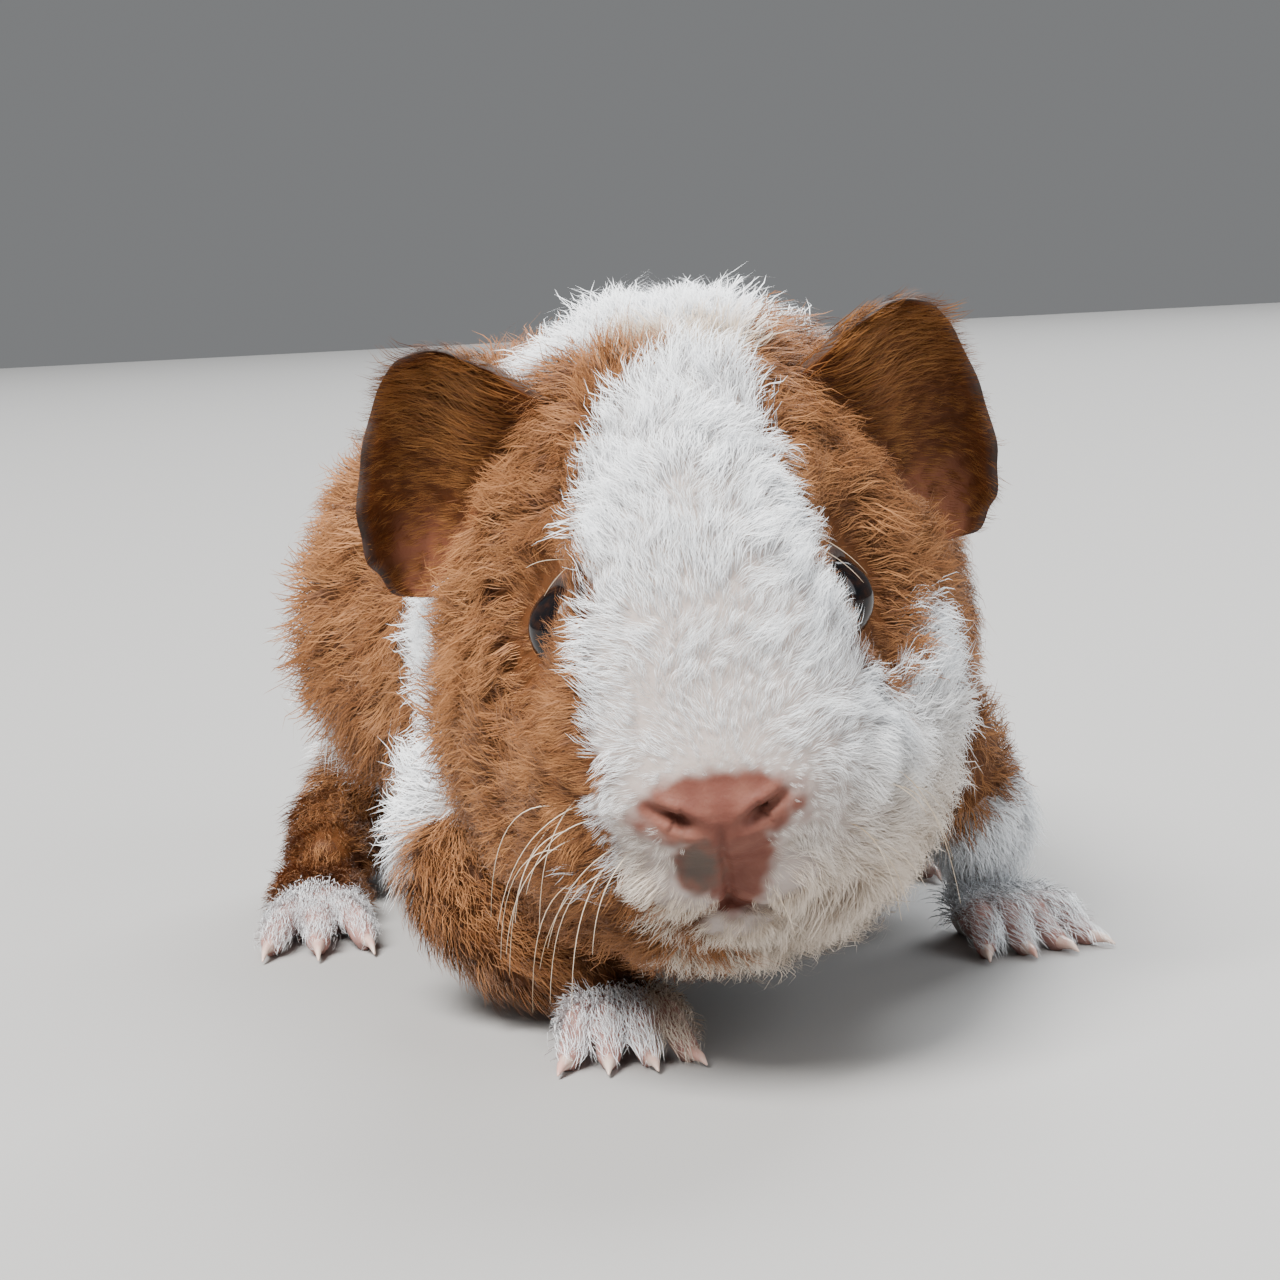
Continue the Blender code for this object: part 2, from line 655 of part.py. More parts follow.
def hold_in(path, radii):
    """Returns a function that pulls a point beyond a leg's outline back to it."""
    balls = list(zip(path, radii))
    balls += [((a + b) / 2.0, (r + s) / 2.0) for (a, r), (b, s) in zip(balls, balls[1:])]

    def pull(point):
        middle, radius = min(balls, key=lambda ball: (point - ball[0]).length / ball[1])
        away = point - middle
        return point.copy() if away.length <= radius else middle + away.normalized() * radius

    return pull


def add_leg_wool(leg, knots, pull):
    """Fuses small woolly clumps, leaning towards the foot, with the core of a leg."""
    wool = new_collection("leg_wool")
    draw = random.Random(COAT_SEED)
    for row, place in enumerate(LEG_CLUMP_ROWS):
        for k in range(LEG_CLUMPS_ROUND):
            angle = 2.0 * math.pi * (k + 0.5 * (row % 2) + CLUMP_PLAY * draw.uniform(-1.0, 1.0)) / LEG_CLUMPS_ROUND
            point, around = leg_surface(knots, place, angle)
            lean = (leg_surface(knots, place + 0.2, angle)[0] - leg_surface(knots, place - 0.2, angle)[0])
            lean.normalize()
            outward = (around - lean * around.dot(lean)).normalized()
            radius = leg_at(knots, place)[1]
            depth = radius * (1.0 - LEG_CORE)
            clump(point, outward, lean, depth, radius * LEG_CLUMP_WIDTH, wool, pull)
    combine(leg, "UNION", wool)
    bpy.data.collections.remove(wool)


def foot_frame(foot):
    """Returns the matrix that stands a foot made at the origin, pointing along -Y, on its place."""
    return Matrix.Translation((foot.x, foot.along, 0.0)) @ Matrix.Rotation(math.radians(foot.turn), 4, "Z")


def make_palm(name, foot, collection, grow=0.0):
    """Makes the palm or sole of a foot, from its heel to the roots of its toes."""
    stations = ((foot.back, 0.62, 0.80), (foot.back * 0.55, 0.82, 0.95), (0.0, 1.0, 0.90), (-3.4, 0.90, 0.62))
    frame = foot_frame(foot)
    rings = []
    for index, (back, wide, high) in enumerate(stations):
        half_width = foot.width * wide + grow
        half_height = foot.height * high / 2.0 + grow
        end = grow if index == 0 else (-grow if index == len(stations) - 1 else 0.0)
        middle = Vector((0.0, back + end, foot.height * high / 2.0 - FLOOR_BITE))
        rings.append([frame @ (middle + Vector((half_width * math.cos(a), 0.0, half_height * math.sin(a))))
                      for a in (2.0 * math.pi * k / FOOT_SIDES for k in range(FOOT_SIDES))])
    return loft(name, rings, collection)


def add_toes(foot, collection):
    """Makes the toes of a foot, each with its claw."""
    frame = foot_frame(foot)
    for k in range(foot.toes):
        across = 2.0 * k / (foot.toes - 1) - 1.0
        reach = foot.toe_length * (1.0 - 0.16 * across * across)
        root = Vector((across * foot.width * 0.62, -1.2, foot.height * 0.34))
        tip = Vector((across * foot.spread, -2.6 - reach, foot.toe_radius * 0.72))
        knuckle = root.lerp(tip, 0.5) + Vector((0.0, 0.0, foot.toe_radius * 0.75))
        radii = [foot.toe_radius * r for r in (0.95, 1.0, 0.92, 0.55)]
        end = tip + (tip - root).normalized() * foot.toe_radius * 0.7
        path = [frame @ p for p in (root, knuckle, tip, end)]
        tube("toe", path, radii, collection, TOE_SIDES)
        forward = (tip - root)
        forward.z = 0.0
        forward.normalize()
        bend = end + forward * foot.claw * 0.5 + Vector((0.0, 0.0, -0.1))
        point = end + forward * foot.claw - Vector((0.0, 0.0, end.z - 0.45))
        claw_path = [frame @ p for p in (tip, end, bend, point)]
        tube("claw", claw_path, (0.9, 0.85, 0.6, 0.22), collection, CLAW_SIDES)


def make_foot(foot, parts, tools):
    """Makes one foot with toes and claws, with a flat sole on the floor."""
    made = make_palm(foot.name, foot, parts)
    toes = new_collection("toes")
    add_toes(foot, toes)
    combine(made, "UNION", toes)
    bpy.data.collections.remove(toes)
    low = Vector((foot.x - 60.0, foot.along - 60.0, -30.0))
    high = Vector((foot.x + 60.0, foot.along + 60.0, 0.0))
    corners = [Vector((x, y, z)) for y in (low.y, high.y)
               for x, z in ((low.x, low.z), (high.x, low.z), (high.x, high.z), (low.x, high.z))]
    combine(made, "DIFFERENCE", loft("floor", [corners[:4], corners[4:]], tools))
    dress(made, "skin_pink")
    return made


def make_leg(name, knots, foot, parts, tools, hosts):
    """Makes one leg and opens the bed of its root in the body and of its end in the foot."""
    samples = [leg_at(knots, k / LEG_STEPS) for k in range((len(knots) - 1) * LEG_STEPS + 1)]
    path = [middle for middle, _ in samples]
    radii = [radius for _, radius in samples]
    leg = tube(name, path, [radius * LEG_CORE for radius in radii], parts, LEG_SIDES)
    add_leg_wool(leg, knots, hold_in(path, radii))
    combine(leg, "DIFFERENCE", make_palm("palm_bed", foot, tools, GAP))
    reach = (path[0] - path[1]).normalized() * GAP
    wide = [(radius + LEG_GAP) / math.cos(math.pi / LEG_BED_SIDES) for radius in radii]
    bed = tube("leg_bed", [path[0] + reach] + path[1:], wide, tools, LEG_BED_SIDES)
    for host in hosts:
        combine(host, "DIFFERENCE", bed, keep_cutter=True)
    bpy.data.objects.remove(bed)
    dress(leg, "coat_white" if name == "foreleg_left" else "coat_russet")
    return leg


def place_on_origin(parts):
    """Moves all nodes so that the origin is under the middle of their bounding box, at the floor."""
    corners = [vertex.co for item in parts.objects for vertex in item.data.vertices]
    low = [min(co[k] for co in corners) for k in range(3)]
    high = [max(co[k] for co in corners) for k in range(3)]
    move = Vector((-(low[0] + high[0]) / 2.0, -(low[1] + high[1]) / 2.0, -low[2]))
    for item in parts.objects:
        item.data.transform(Matrix.Translation(move))


def tidy(item):
    """Keeps the largest surface, makes triangles and shades the piece smooth."""
    keep_largest(item)
    shape = bmesh.new()
    shape.from_mesh(item.data)
    bmesh.ops.triangulate(shape, faces=shape.faces)
    shape.to_mesh(item.data)
    shape.free()
    item.data.polygons.foreach_set("use_smooth", [True] * len(item.data.polygons))
    item.data.update()


def main():
    """Builds the guinea pig."""
    clear_file()
    parts = new_collection(MODEL)
    tools = new_collection("cutters")
    body = make_body("body", tools, CORE_SHARE)
    add_wool(body)
    pieces = part_body(body, tools, parts)
    head = pieces["head"]
    add_muzzle(head)
    make_nose(parts, tools, head)
    cut_mouth(head, tools)
    for side in (1, -1):
        make_eye(side, parts, tools, head)
        make_ear(side, parts, tools, (head,))
    hosts = list(pieces.values())
    for foot in FEET:
        make_foot(foot, parts, tools)
        leg_name = foot.name.replace("foot", "leg")
        make_leg(leg_name, LEGS[leg_name], foot, parts, tools, hosts)
    for item in parts.objects:
        tidy(item)
    place_on_origin(parts)
    bpy.data.collections.remove(tools)


main()
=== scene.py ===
"""Looks of a young teddy guinea pig: skin, woolly coat, eyes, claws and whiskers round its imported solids.

Lengths in the dataclasses are millimetres. "Along" is the distance back from the tip of the nose, "turn" the
angle round the body with 0 at the animal's left, a quarter turn at its back and half a turn at its right.
"""

from __future__ import annotations

import logging
import math
import random
from dataclasses import dataclass
from enum import Enum

import bmesh
import bpy
import numpy as np
from mathutils import Matrix, Quaternion, Vector, noise


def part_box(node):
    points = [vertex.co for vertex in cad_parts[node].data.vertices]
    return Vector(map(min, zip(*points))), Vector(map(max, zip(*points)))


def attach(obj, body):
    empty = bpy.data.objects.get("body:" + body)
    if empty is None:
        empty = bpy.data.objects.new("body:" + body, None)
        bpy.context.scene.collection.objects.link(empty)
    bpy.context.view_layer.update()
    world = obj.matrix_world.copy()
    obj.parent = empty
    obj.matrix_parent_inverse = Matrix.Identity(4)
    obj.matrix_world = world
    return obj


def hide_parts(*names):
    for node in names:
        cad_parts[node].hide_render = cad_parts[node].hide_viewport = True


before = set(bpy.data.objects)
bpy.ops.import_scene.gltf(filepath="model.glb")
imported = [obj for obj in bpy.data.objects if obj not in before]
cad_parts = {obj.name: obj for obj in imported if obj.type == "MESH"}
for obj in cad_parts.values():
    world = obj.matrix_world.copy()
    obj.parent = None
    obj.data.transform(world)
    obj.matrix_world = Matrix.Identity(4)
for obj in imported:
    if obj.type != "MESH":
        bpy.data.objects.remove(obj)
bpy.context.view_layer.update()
LOG = logging.getLogger("guinea_pig")
MM = 0.001
BODY = "root"
Points = np.ndarray
Number = float | np.ndarray
Faces = list[tuple[int, ...]]
Triple = tuple[float, float, float]
Color = tuple[float, float, float, float]
Item = bpy.types.Object
Mesh = bpy.types.Mesh
Socket = bpy.types.NodeSocket


class Side(Enum):
    """A side of the animal, by the sign of X there."""

    LEFT = 1
    RIGHT = -1


class Slot(Enum):
    """The record's material slots."""

    RUSSET = "coat_russet"
    WHITE = "coat_white"
    EAR = "ear_skin"
    EYE = "eye_black"
    PINK = "skin_pink"


class View(Enum):
    """Which panel view a measured point of the coat's pattern was read from."""

    RIGHT = 0
    LEFT = 1
    TOP = 2
    TURN = 3


def ease(value: Points) -> Points:
    """Returns a smooth step from 0 to 1."""
    t = np.clip(value, 0.0, 1.0)
    return t * t * (3.0 - 2.0 * t)


def unit(vectors: Points) -> Points:
    """Returns rows of vectors scaled to length 1."""
    return vectors / np.maximum(np.linalg.norm(vectors, axis=-1, keepdims=True), 1e-12)


def ramp(value: Points, start: float, width: float) -> Points:
    """Returns a smooth step from 0 at the start to 1 a width further on."""
    return ease((value - start) / width)


def signed_power(value: Points, power: float) -> Points:
    """Returns a power that keeps its base's sign."""
    return np.sign(value) * np.abs(value) ** power


def steady_curve(xs: Points, ys: Points, x: Points) -> Points:
    """Follows a smooth curve through points that never overshoots them.

    Args:
        xs: Places of the points, rising.
        ys: Heights of the points.
        x: Places asked for.

    Returns:
        The curve's height at each place.
    """
    steps = np.diff(xs)
    rises = np.diff(ys) / steps
    before, after = rises[:-1], rises[1:]
    same = before * after > 0.0
    total = np.where(same, before + after, 1.0)
    slopes = np.concatenate(([rises[0]], np.where(same, 2.0 * before * after / total, 0.0), [rises[-1]]))
    i = np.clip(np.searchsorted(xs, x, side="right") - 1, 0, len(steps) - 1)
    t = (x - xs[i]) / steps[i]
    start = ys[i] * (1.0 + 2.0 * t) * (1.0 - t) ** 2 + slopes[i] * steps[i] * t * (1.0 - t) ** 2
    end = ys[i + 1] * t * t * (3.0 - 2.0 * t) - slopes[i + 1] * steps[i] * t * t * (1.0 - t)
    return start + end


@dataclass(frozen=True)
class Station:
    """The body's outline to the tips of the coat, and the coat's depth, at one or many distances."""

    along: Number
    half_width: Number
    top: Number
    bottom: Number
    shift: Number
    egg: Number
    coat: Number


@dataclass(frozen=True)
class BodyForm:
    """The shape of head and trunk, the same as in the solids."""

    length: float = 165.0
    roundness: float = 2.15
    orbit_dent: float = 0.16
    orbit_size: float = 8.5
    narrowest: float = 1.5
    rear_from: float = 125.0
    tilt: float = math.radians(3.2)
    tilt_height: float = 35.0
    tilt_fades_from: float = 52.0
    tilt_gone_at: float = 76.0
    eye: Triple = (11.7, 22.3, 43.4)
    eye_radius: float = 4.5
    nose: Triple = (0.0, 2.7, 28.4)
    nose_half: Triple = (7.4, 3.4, 3.0)
    lip: Triple = (4.2, 8.2, 22.4)
    lip_half: Triple = (5.0, 4.6, 4.2)
    chin: Triple = (0.0, 11.8, 17.4)
    chin_half: Triple = (4.6, 3.4, 2.8)
    stations: tuple[Station, ...] = (
        Station(0.0, 4.0, 33.0, 25.5, 0.0, 0.10, 0.0),
        Station(1.5, 8.0, 37.0, 24.4, 0.0, 0.10, 0.0),
        Station(5.0, 11.6, 47.0, 22.4, 0.4, 0.16, 0.3),
        Station(11.0, 14.9, 57.6, 16.0, 0.8, 0.30, 1.2),
        Station(22.0, 18.3, 67.0, 9.4, 1.5, 0.42, 3.0),
        Station(34.0, 24.4, 72.4, 7.0, 1.7, 0.24, 5.4),
        Station(46.0, 28.6, 75.0, 6.0, 2.0, 0.15, 7.0),
        Station(58.0, 30.8, 75.0, 5.6, 3.0, 0.12, 8.4),
        Station(72.0, 33.5, 71.4, 5.0, 4.4, 0.12, 9.4),
        Station(92.0, 36.5, 70.4, 4.6, 2.2, 0.17, 10.0),
        Station(120.0, 39.5, 70.4, 4.4, -5.0, 0.18, 10.0),
        Station(138.0, 37.5, 65.6, 4.4, -6.5, 0.14, 10.0),
        Station(153.0, 29.0, 55.0, 4.4, -4.6, 0.08, 10.0),
        Station(162.0, 16.5, 43.0, 9.0, -3.3, 0.0, 9.0),
        Station(165.0, 6.0, 31.0, 17.0, -3.0, 0.0, 8.0),
    )

    def girth(self, along: Points) -> Station:
        """Returns the outline's values at distances from the nose."""
        table = np.array([list(vars(s).values()) for s in self.stations]).T
        inside = np.clip(along, 0.0, self.length)
        return Station(along, *[steady_curve(table[0], values, inside) for values in table[1:]])

    def surface(self, along: Points, turn: Points, share: float) -> Points:
        """Finds points of the straight body.

        Args:
            along: Distances from the nose.
            turn: Angles round the body.
            share: How deep in the coat, from 0 at its tips to 1 at its roots.

        Returns:
            One row of X, Y and Z for each place.
        """
        size = self.girth(along)
        inset = size.coat * share
        power = 2.0 / self.roundness
        across, upward = signed_power(np.cos(turn), power), signed_power(np.sin(turn), power)
        half_height = np.maximum((size.top - size.bottom) / 2.0 - inset, self.narrowest)
        half_width = np.maximum(size.half_width - inset, self.narrowest)
        height = (size.top + size.bottom) / 2.0 + half_height * upward
        near_eye = ((along - self.eye[1]) ** 2 + (height - self.eye[2]) ** 2) / self.orbit_size ** 2
        side = half_width * across * (1.0 - size.egg * upward) * (1.0 - self.orbit_dent * np.exp(-near_eye))
        shorter = inset * ramp(along, self.rear_from, self.length - self.rear_from)
        return np.stack([side, along - shorter, height], axis=-1)

    def turn_at(self, straight: Points) -> Points:
        """Returns the angle round the body at which points of the straight body lie."""
        size = self.girth(straight[:, 1])
        upward = (straight[:, 2] - (size.top + size.bottom) / 2.0) / ((size.top - size.bottom) / 2.0)
        across = straight[:, 0] / (size.half_width * (1.0 - size.egg * np.clip(upward, -1.0, 1.0)))
        power = self.roundness / 2.0
        return np.arctan2(signed_power(upward, power), signed_power(across, power))

    def tilt_at(self, along: Points) -> Points:
        """Returns how far head and neck are tilted at distances from the nose."""
        return self.tilt * (1.0 - ramp(along, self.tilt_fades_from, self.tilt_gone_at - self.tilt_fades_from))

    def posed(self, straight: Points) -> Points:
        """Moves points of the straight, level animal to the stance in the photo."""
        tilt = self.tilt_at(straight[:, 1])
        rise = straight[:, 2] - self.tilt_height
        side = straight[:, 0] * np.cos(tilt) - rise * np.sin(tilt)
        height = self.tilt_height + rise * np.cos(tilt) + straight[:, 0] * np.sin(tilt)
        return np.stack([side + self.girth(straight[:, 1]).shift, straight[:, 1], height], axis=-1)

    def straightened(self, posed: Points) -> Points:
        """Returns where points of the posed animal lie on the straight one."""
        tilt = self.tilt_at(posed[:, 1])
        side = posed[:, 0] - self.girth(posed[:, 1]).shift
        rise = posed[:, 2] - self.tilt_height
        return np.stack([side * np.cos(tilt) + rise * np.sin(tilt), posed[:, 1],
                         self.tilt_height + rise * np.cos(tilt) - side * np.sin(tilt)], axis=-1)

    def pose_one(self, x: float, y: float, z: float) -> Points:
        """Returns the posed place of one point of the straight animal."""
        return self.posed(np.array([[x, y, z]]))[0]


@dataclass(frozen=True)
class Knot:
    """A point that the middle of a leg runs through, with the leg's radius there."""

    x: float
    along: float
    z: float
    radius: float


@dataclass(frozen=True)
class Limb:
    """A leg and its foot, with the sizes that the solids have."""

    name: str
    knots: tuple[Knot, ...]
    x: float
    along: float
    turn: float
    back: float
    width: float
    height: float
    toes: int
    toe_length: float
    toe_radius: float
    spread: float
    claw: float
    coat: float = 0.20
    white: bool = False

    def middle_line(self, count: int) -> tuple[Points, Points]:
        """Returns points and radii along the leg."""
        places = np.arange(len(self.knots), dtype=float)
        asked = np.linspace(0.0, len(self.knots) - 1.0, count)
        columns = [steady_curve(places, np.array([getattr(k, f) for k in self.knots]), asked)
                   for f in ("x", "along", "z", "radius")]
        return np.stack(columns[:3], axis=-1), columns[3]

    def stand(self) -> Points:
        """Returns the matrix that stands a foot made at the origin, pointing along -Y, on its place."""
        turned = Matrix.Rotation(math.radians(self.turn), 4, "Z")
        return np.array(Matrix.Translation((self.x, self.along, 0.0)) @ turned)

    def in_foot_axes(self, posed: Points) -> Points:
        """Returns posed points in the foot's own axes."""
        stand = self.stand()
        return (posed - stand[:3, 3]) @ stand[:3, :3]

    @property
    def hind(self) -> bool:
        """Tells whether this is a hind leg, by its three toes."""
        return self.toes == 3


LIMBS = (
    Limb("foreleg_right",
         (Knot(-18.0, 64.0, 25.0, 9.0), Knot(-21.4, 55.0, 15.6, 8.6), Knot(-16.5, 46.5, 9.2, 6.6),
          Knot(-10.4, 40.8, 6.4, 4.6), Knot(-8.8, 37.6, 5.2, 3.6)),
         x=-8.2, along=33.0, turn=3.0, back=7.0, width=4.5, height=6.4, toes=4, toe_length=5.4,
         toe_radius=2.0, spread=5.6, claw=3.0),
    Limb("foreleg_left",
         (Knot(27.0, 68.0, 25.0, 9.2), Knot(31.0, 73.0, 18.0, 8.0), Knot(34.6, 78.4, 11.4, 6.2),
          Knot(34.8, 79.6, 7.4, 4.8), Knot(35.0, 77.4, 5.6, 3.8)),
         x=36.0, along=73.5, turn=20.0, back=7.0, width=4.5, height=6.4, toes=4, toe_length=5.4,
         toe_radius=2.0, spread=6.0, claw=3.0, white=True),
    Limb("hindleg_right",
         (Knot(-29.0, 140.0, 21.0, 9.0), Knot(-33.5, 135.0, 13.0, 8.2), Knot(-38.0, 128.0, 8.2, 6.6),
          Knot(-39.8, 121.0, 6.4, 5.2), Knot(-40.2, 115.0, 5.4, 4.2)),
         x=-40.6, along=99.0, turn=2.0, back=24.0, width=4.9, height=6.0, toes=3, toe_length=8.6,
         toe_radius=2.25, spread=5.2, claw=3.8),
    Limb("hindleg_left",
         (Knot(14.0, 145.0, 25.0, 8.6), Knot(19.0, 147.0, 15.6, 7.8), Knot(23.0, 147.4, 8.6, 6.2),
          Knot(26.0, 143.6, 6.4, 4.9), Knot(27.6, 139.0, 5.4, 4.0)),
         x=30.6, along=124.0, turn=12.0, back=20.0, width=4.9, height=6.0, toes=3, toe_length=8.6,
         toe_radius=2.25, spread=5.0, claw=3.8),
)


@dataclass(frozen=True)
class Place:
    """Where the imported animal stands: the offset from the millimetre axes of the sizes to the frame."""

    x: float
    y: float

    @property
    def offset(self) -> Points:
        """Returns the offset in metres."""
        return np.array([self.x, self.y, 0.0])

    def to_frame(self, points: Points) -> Points:
        """Returns posed points in millimetres as points of the frame in metres."""
        return points * MM + self.offset

    def from_frame(self, points: Points) -> Points:
        """Returns points of the frame in metres as posed points in millimetres."""
        return (points - self.offset) / MM

    @staticmethod
    def found(form: BodyForm) -> "Place":
        """Returns the place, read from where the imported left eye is."""
        low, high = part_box("eye_left")
        eye = form.pose_one(*form.eye) * MM
        return Place((low.x + high.x) / 2.0 - eye[0], (low.y + high.y) / 2.0 - eye[1])


def show(name: str, data: bpy.types.ID) -> Item:
    """Makes an object of mesh, light or camera data and links it to the scene."""
    made = bpy.data.objects.new(name, data)
    bpy.context.scene.collection.objects.link(made)
    return made


def number_faces(mesh: Mesh, numbers: Points) -> None:
    """Stores the number of the piece of coat that grows on each face."""
    mesh.attributes.new("region", "INT", "FACE").data.foreach_set("value", numbers)


def new_object(name: str, vertices: Points, faces: Faces) -> Item:
    """Makes a mesh object in the scene from points in metres and turns its faces outwards."""
    mesh = bpy.data.meshes.new(name)
    mesh.from_pydata([tuple(v) for v in np.asarray(vertices, dtype=float)], [], faces)
    shape = bmesh.new()
    shape.from_mesh(mesh)
    bmesh.ops.recalc_face_normals(shape, faces=shape.faces)
    if shape.calc_volume(signed=True) < 0.0:
        bmesh.ops.reverse_faces(shape, faces=shape.faces)
    shape.to_mesh(mesh)
    shape.free()
    mesh.polygons.foreach_set("use_smooth", [True] * len(mesh.polygons))
    return show(name, mesh)


def ring_faces(rings: int, around: int, first: int = 0) -> Faces:
    """Returns the faces between rings of points, with a fan at each end.

    Args:
        rings: How many rings there are.
        around: How many points a ring has.
        first: The number of the first point.

    Returns:
        The faces. The two end points come after all rings.
    """
    rows = [first + k * around for k in range(rings)]
    faces = [(row + i, row + (i + 1) % around, row + around + (i + 1) % around, row + around + i)
             for row in rows[:-1] for i in range(around)]
    start, end = first + rings * around, first + rings * around + 1
    faces += [(first + i, start, first + (i + 1) % around) for i in range(around)]
    faces += [(rows[-1] + i, rows[-1] + (i + 1) % around, end) for i in range(around)]
    return faces


def unit_ball(levels: int, around: int) -> Points:
    """Returns the rings of a ball of radius 1 without its poles, from the top down."""
    down = np.pi * np.arange(1, levels) / levels
    angle = 2.0 * np.pi * np.arange(around) / around
    return np.stack([np.outer(np.sin(down), np.cos(angle)), np.outer(np.sin(down), np.sin(angle)),
                     np.outer(np.cos(down), np.ones(around))], axis=-1)


def curve_through(points: list[Points], count: int) -> tuple[Points, Points, Points]:
    """Runs a smooth line through points.

    Args:
        points: The points.
        count: How many points the line has.

    Returns:
        The line, where each of its points lies between the given ones, and the numbers of those.
    """
    stops = np.arange(float(len(points)))
    asked = np.linspace(0.0, len(points) - 1.0, count)
    line = np.stack([steady_curve(stops, np.stack(points)[:, c], asked) for c in range(3)], axis=-1)
    return line, asked, stops


class Batch:
    """Collects closed lofted shapes and makes one object of them."""

    start_bulge = 0.3
    end_bulge = 0.6

    def __init__(self) -> None:
        """Starts with nothing."""
        self.points: list[Points] = []
        self.faces: Faces = []
        self.count = 0

    def loft(self, rings: Points, start: Points, end: Points) -> None:
        """Adds a closed shape of rings of points with a point at each end."""
        self.faces += ring_faces(rings.shape[0], rings.shape[1], self.count)
        self.points += [rings.reshape(-1, 3), np.array([start, end])]
        self.count += rings.shape[0] * rings.shape[1] + 2

    def ball(self, middle: Points, half: Points, levels: int, around: int) -> None:
        """Adds a ball squashed to three half sizes."""
        pole = np.array([0.0, 0.0, half[2]])
        self.loft(unit_ball(levels, around) * half + middle, middle + pole, middle - pole)

    def tube(self, path: Points, radii: Points, around: int) -> None:
        """Adds a round tube along a path, closed by a point just past each end."""
        ahead = unit(np.gradient(path, axis=0))
        side = np.cross(ahead, np.array([0.0, 0.0, 1.0]))
        weak = np.linalg.norm(side, axis=-1) < 0.05
        side[weak] = np.array([1.0, 0.0, 0.0])
        side = unit(side)
        up = np.cross(side, ahead)
        angle = 2.0 * np.pi * np.arange(around) / around
        outward = (np.cos(angle)[None, :, None] * side[:, None, :]
                   + np.sin(angle)[None, :, None] * up[:, None, :])
        rings = path[:, None, :] + radii[:, None, None] * outward
        start = path[0] - ahead[0] * radii[0] * self.start_bulge
        self.loft(rings, start, path[-1] + ahead[-1] * radii[-1] * self.end_bulge)

    def build(self, name: str, move: "Place") -> Item:
        """Makes the object, from posed points in millimetres."""
        return new_object(name, move.to_frame(np.concatenate(self.points)), self.faces)


def evaluated_mesh(item: Item) -> Mesh:
    """Returns the mesh of an object with its modifiers applied."""
    bpy.context.view_layer.update()
    result = item.evaluated_get(bpy.context.evaluated_depsgraph_get())
    return bpy.data.meshes.new_from_object(result, preserve_all_data_layers=True,
                                           depsgraph=bpy.context.evaluated_depsgraph_get())


def apply_modifiers(item: Item) -> None:
    """Gives an object its evaluated mesh in place of its modifiers."""
    mesh = evaluated_mesh(item)
    item.modifiers.clear()
    item.data = mesh


def coordinates(mesh: Mesh) -> Points:
    """Returns a mesh's vertices as rows."""
    flat = np.empty(len(mesh.vertices) * 3)
    mesh.vertices.foreach_get("co", flat)
    return flat.reshape(-1, 3)


def vertex_normals(mesh: Mesh) -> Points:
    """Returns a mesh's vertex normals as rows."""
    flat = np.empty(len(mesh.vertices) * 3, dtype=np.float32)
    mesh.vertex_normals.foreach_get("vector", flat)
    return flat.reshape(-1, 3).astype(float)


def unwrap(item: Item) -> None:
    """Gives a skin the UV map "unwrap", for the roots of its coat and their bake."""
    bpy.ops.object.select_all(action="DESELECT")
    bpy.context.view_layer.objects.active = item
    item.select_set(True)
    item.data.uv_layers.new(name="unwrap")
    bpy.ops.object.mode_set(mode="EDIT")
    bpy.ops.mesh.select_all(action="SELECT")
    bpy.ops.uv.smart_project(angle_limit=math.radians(66.0), island_margin=0.004)
    bpy.ops.object.mode_set(mode="OBJECT")
    item.select_set(False)


def write_attribute(mesh: Mesh, name: str, values: Points) -> None:
    """Stores numbers or vectors on a mesh's vertices."""
    kind, key = ("FLOAT", "value") if values.ndim == 1 else ("FLOAT_VECTOR", "vector")
    old = mesh.attributes.get(name)
    if old:
        mesh.attributes.remove(old)
    layer = mesh.attributes.new(name, kind, "POINT")
    layer.data.foreach_set(key, values.astype(np.float32).ravel())


def write_fields(mesh: Mesh, normals: Points, lie: Points, flat: Points, **fields: Points) -> None:
    """Stores on a skin how its coat grows.

    Args:
        mesh: The skin's mesh.
        normals: Its normals.
        lie: The way the coat points along the skin.
        flat: How far it leans that way from upright, in degrees.
        fields: The other fields, by name.
    """
    tilt = np.radians(flat)[:, None]
    outward = unit(normals * np.cos(tilt) + lie * np.sin(tilt))
    for name, values in {"outward": outward, "lie": lie, **fields}.items():
        write_attribute(mesh, name, values)


@dataclass(frozen=True)
class Fade:
    """A smooth step from 0 at its start to 1 a width further on, or further back for a width below 0."""

    start: float
    width: float

    def at(self, value: Points) -> Points:
        """Returns the step's height at values."""
        return ramp(value, self.start, self.width)


@dataclass(frozen=True)
class Waves:
    """Smooth noise from about -1 to 1, by the size of its waves in millimetres and its seed."""

    size: float
    seed: float
    seed_shift = (13.7, -7.1, 3.3)
    gain = 1.6

    def at(self, points: Points) -> Points:
        """Returns the noise at points in millimetres."""
        offset = Vector([self.seed * shift for shift in self.seed_shift])
        return np.array([noise.noise(Vector(p) / self.size + offset) for p in points]) * self.gain


@dataclass(frozen=True)
class Oval:
    """An oval seen from the front, by its middle and its half sizes in millimetres."""

    x: float
    z: float
    half_width: float
    half_height: float

    def share(self, x: Points, z: Points, wider: Number = 0.0) -> Points:
        """Returns how far out points lie, 1 at the oval's edge."""
        across, up = (x - self.x) / (self.half_width + wider), (z - self.z) / self.half_height
        return (across ** 2 + up ** 2) ** 0.5


def claim(item: Item, slot: Slot, *nodes: str) -> None:
    """Makes a piece ride on the body and stand for CAD nodes, and logs its size."""
    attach(item, BODY)
    if nodes:
        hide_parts(*nodes)
    item.data.calc_loop_triangles()
    LOG.info("piece %s: %d triangles", item.name, len(item.data.loop_triangles))


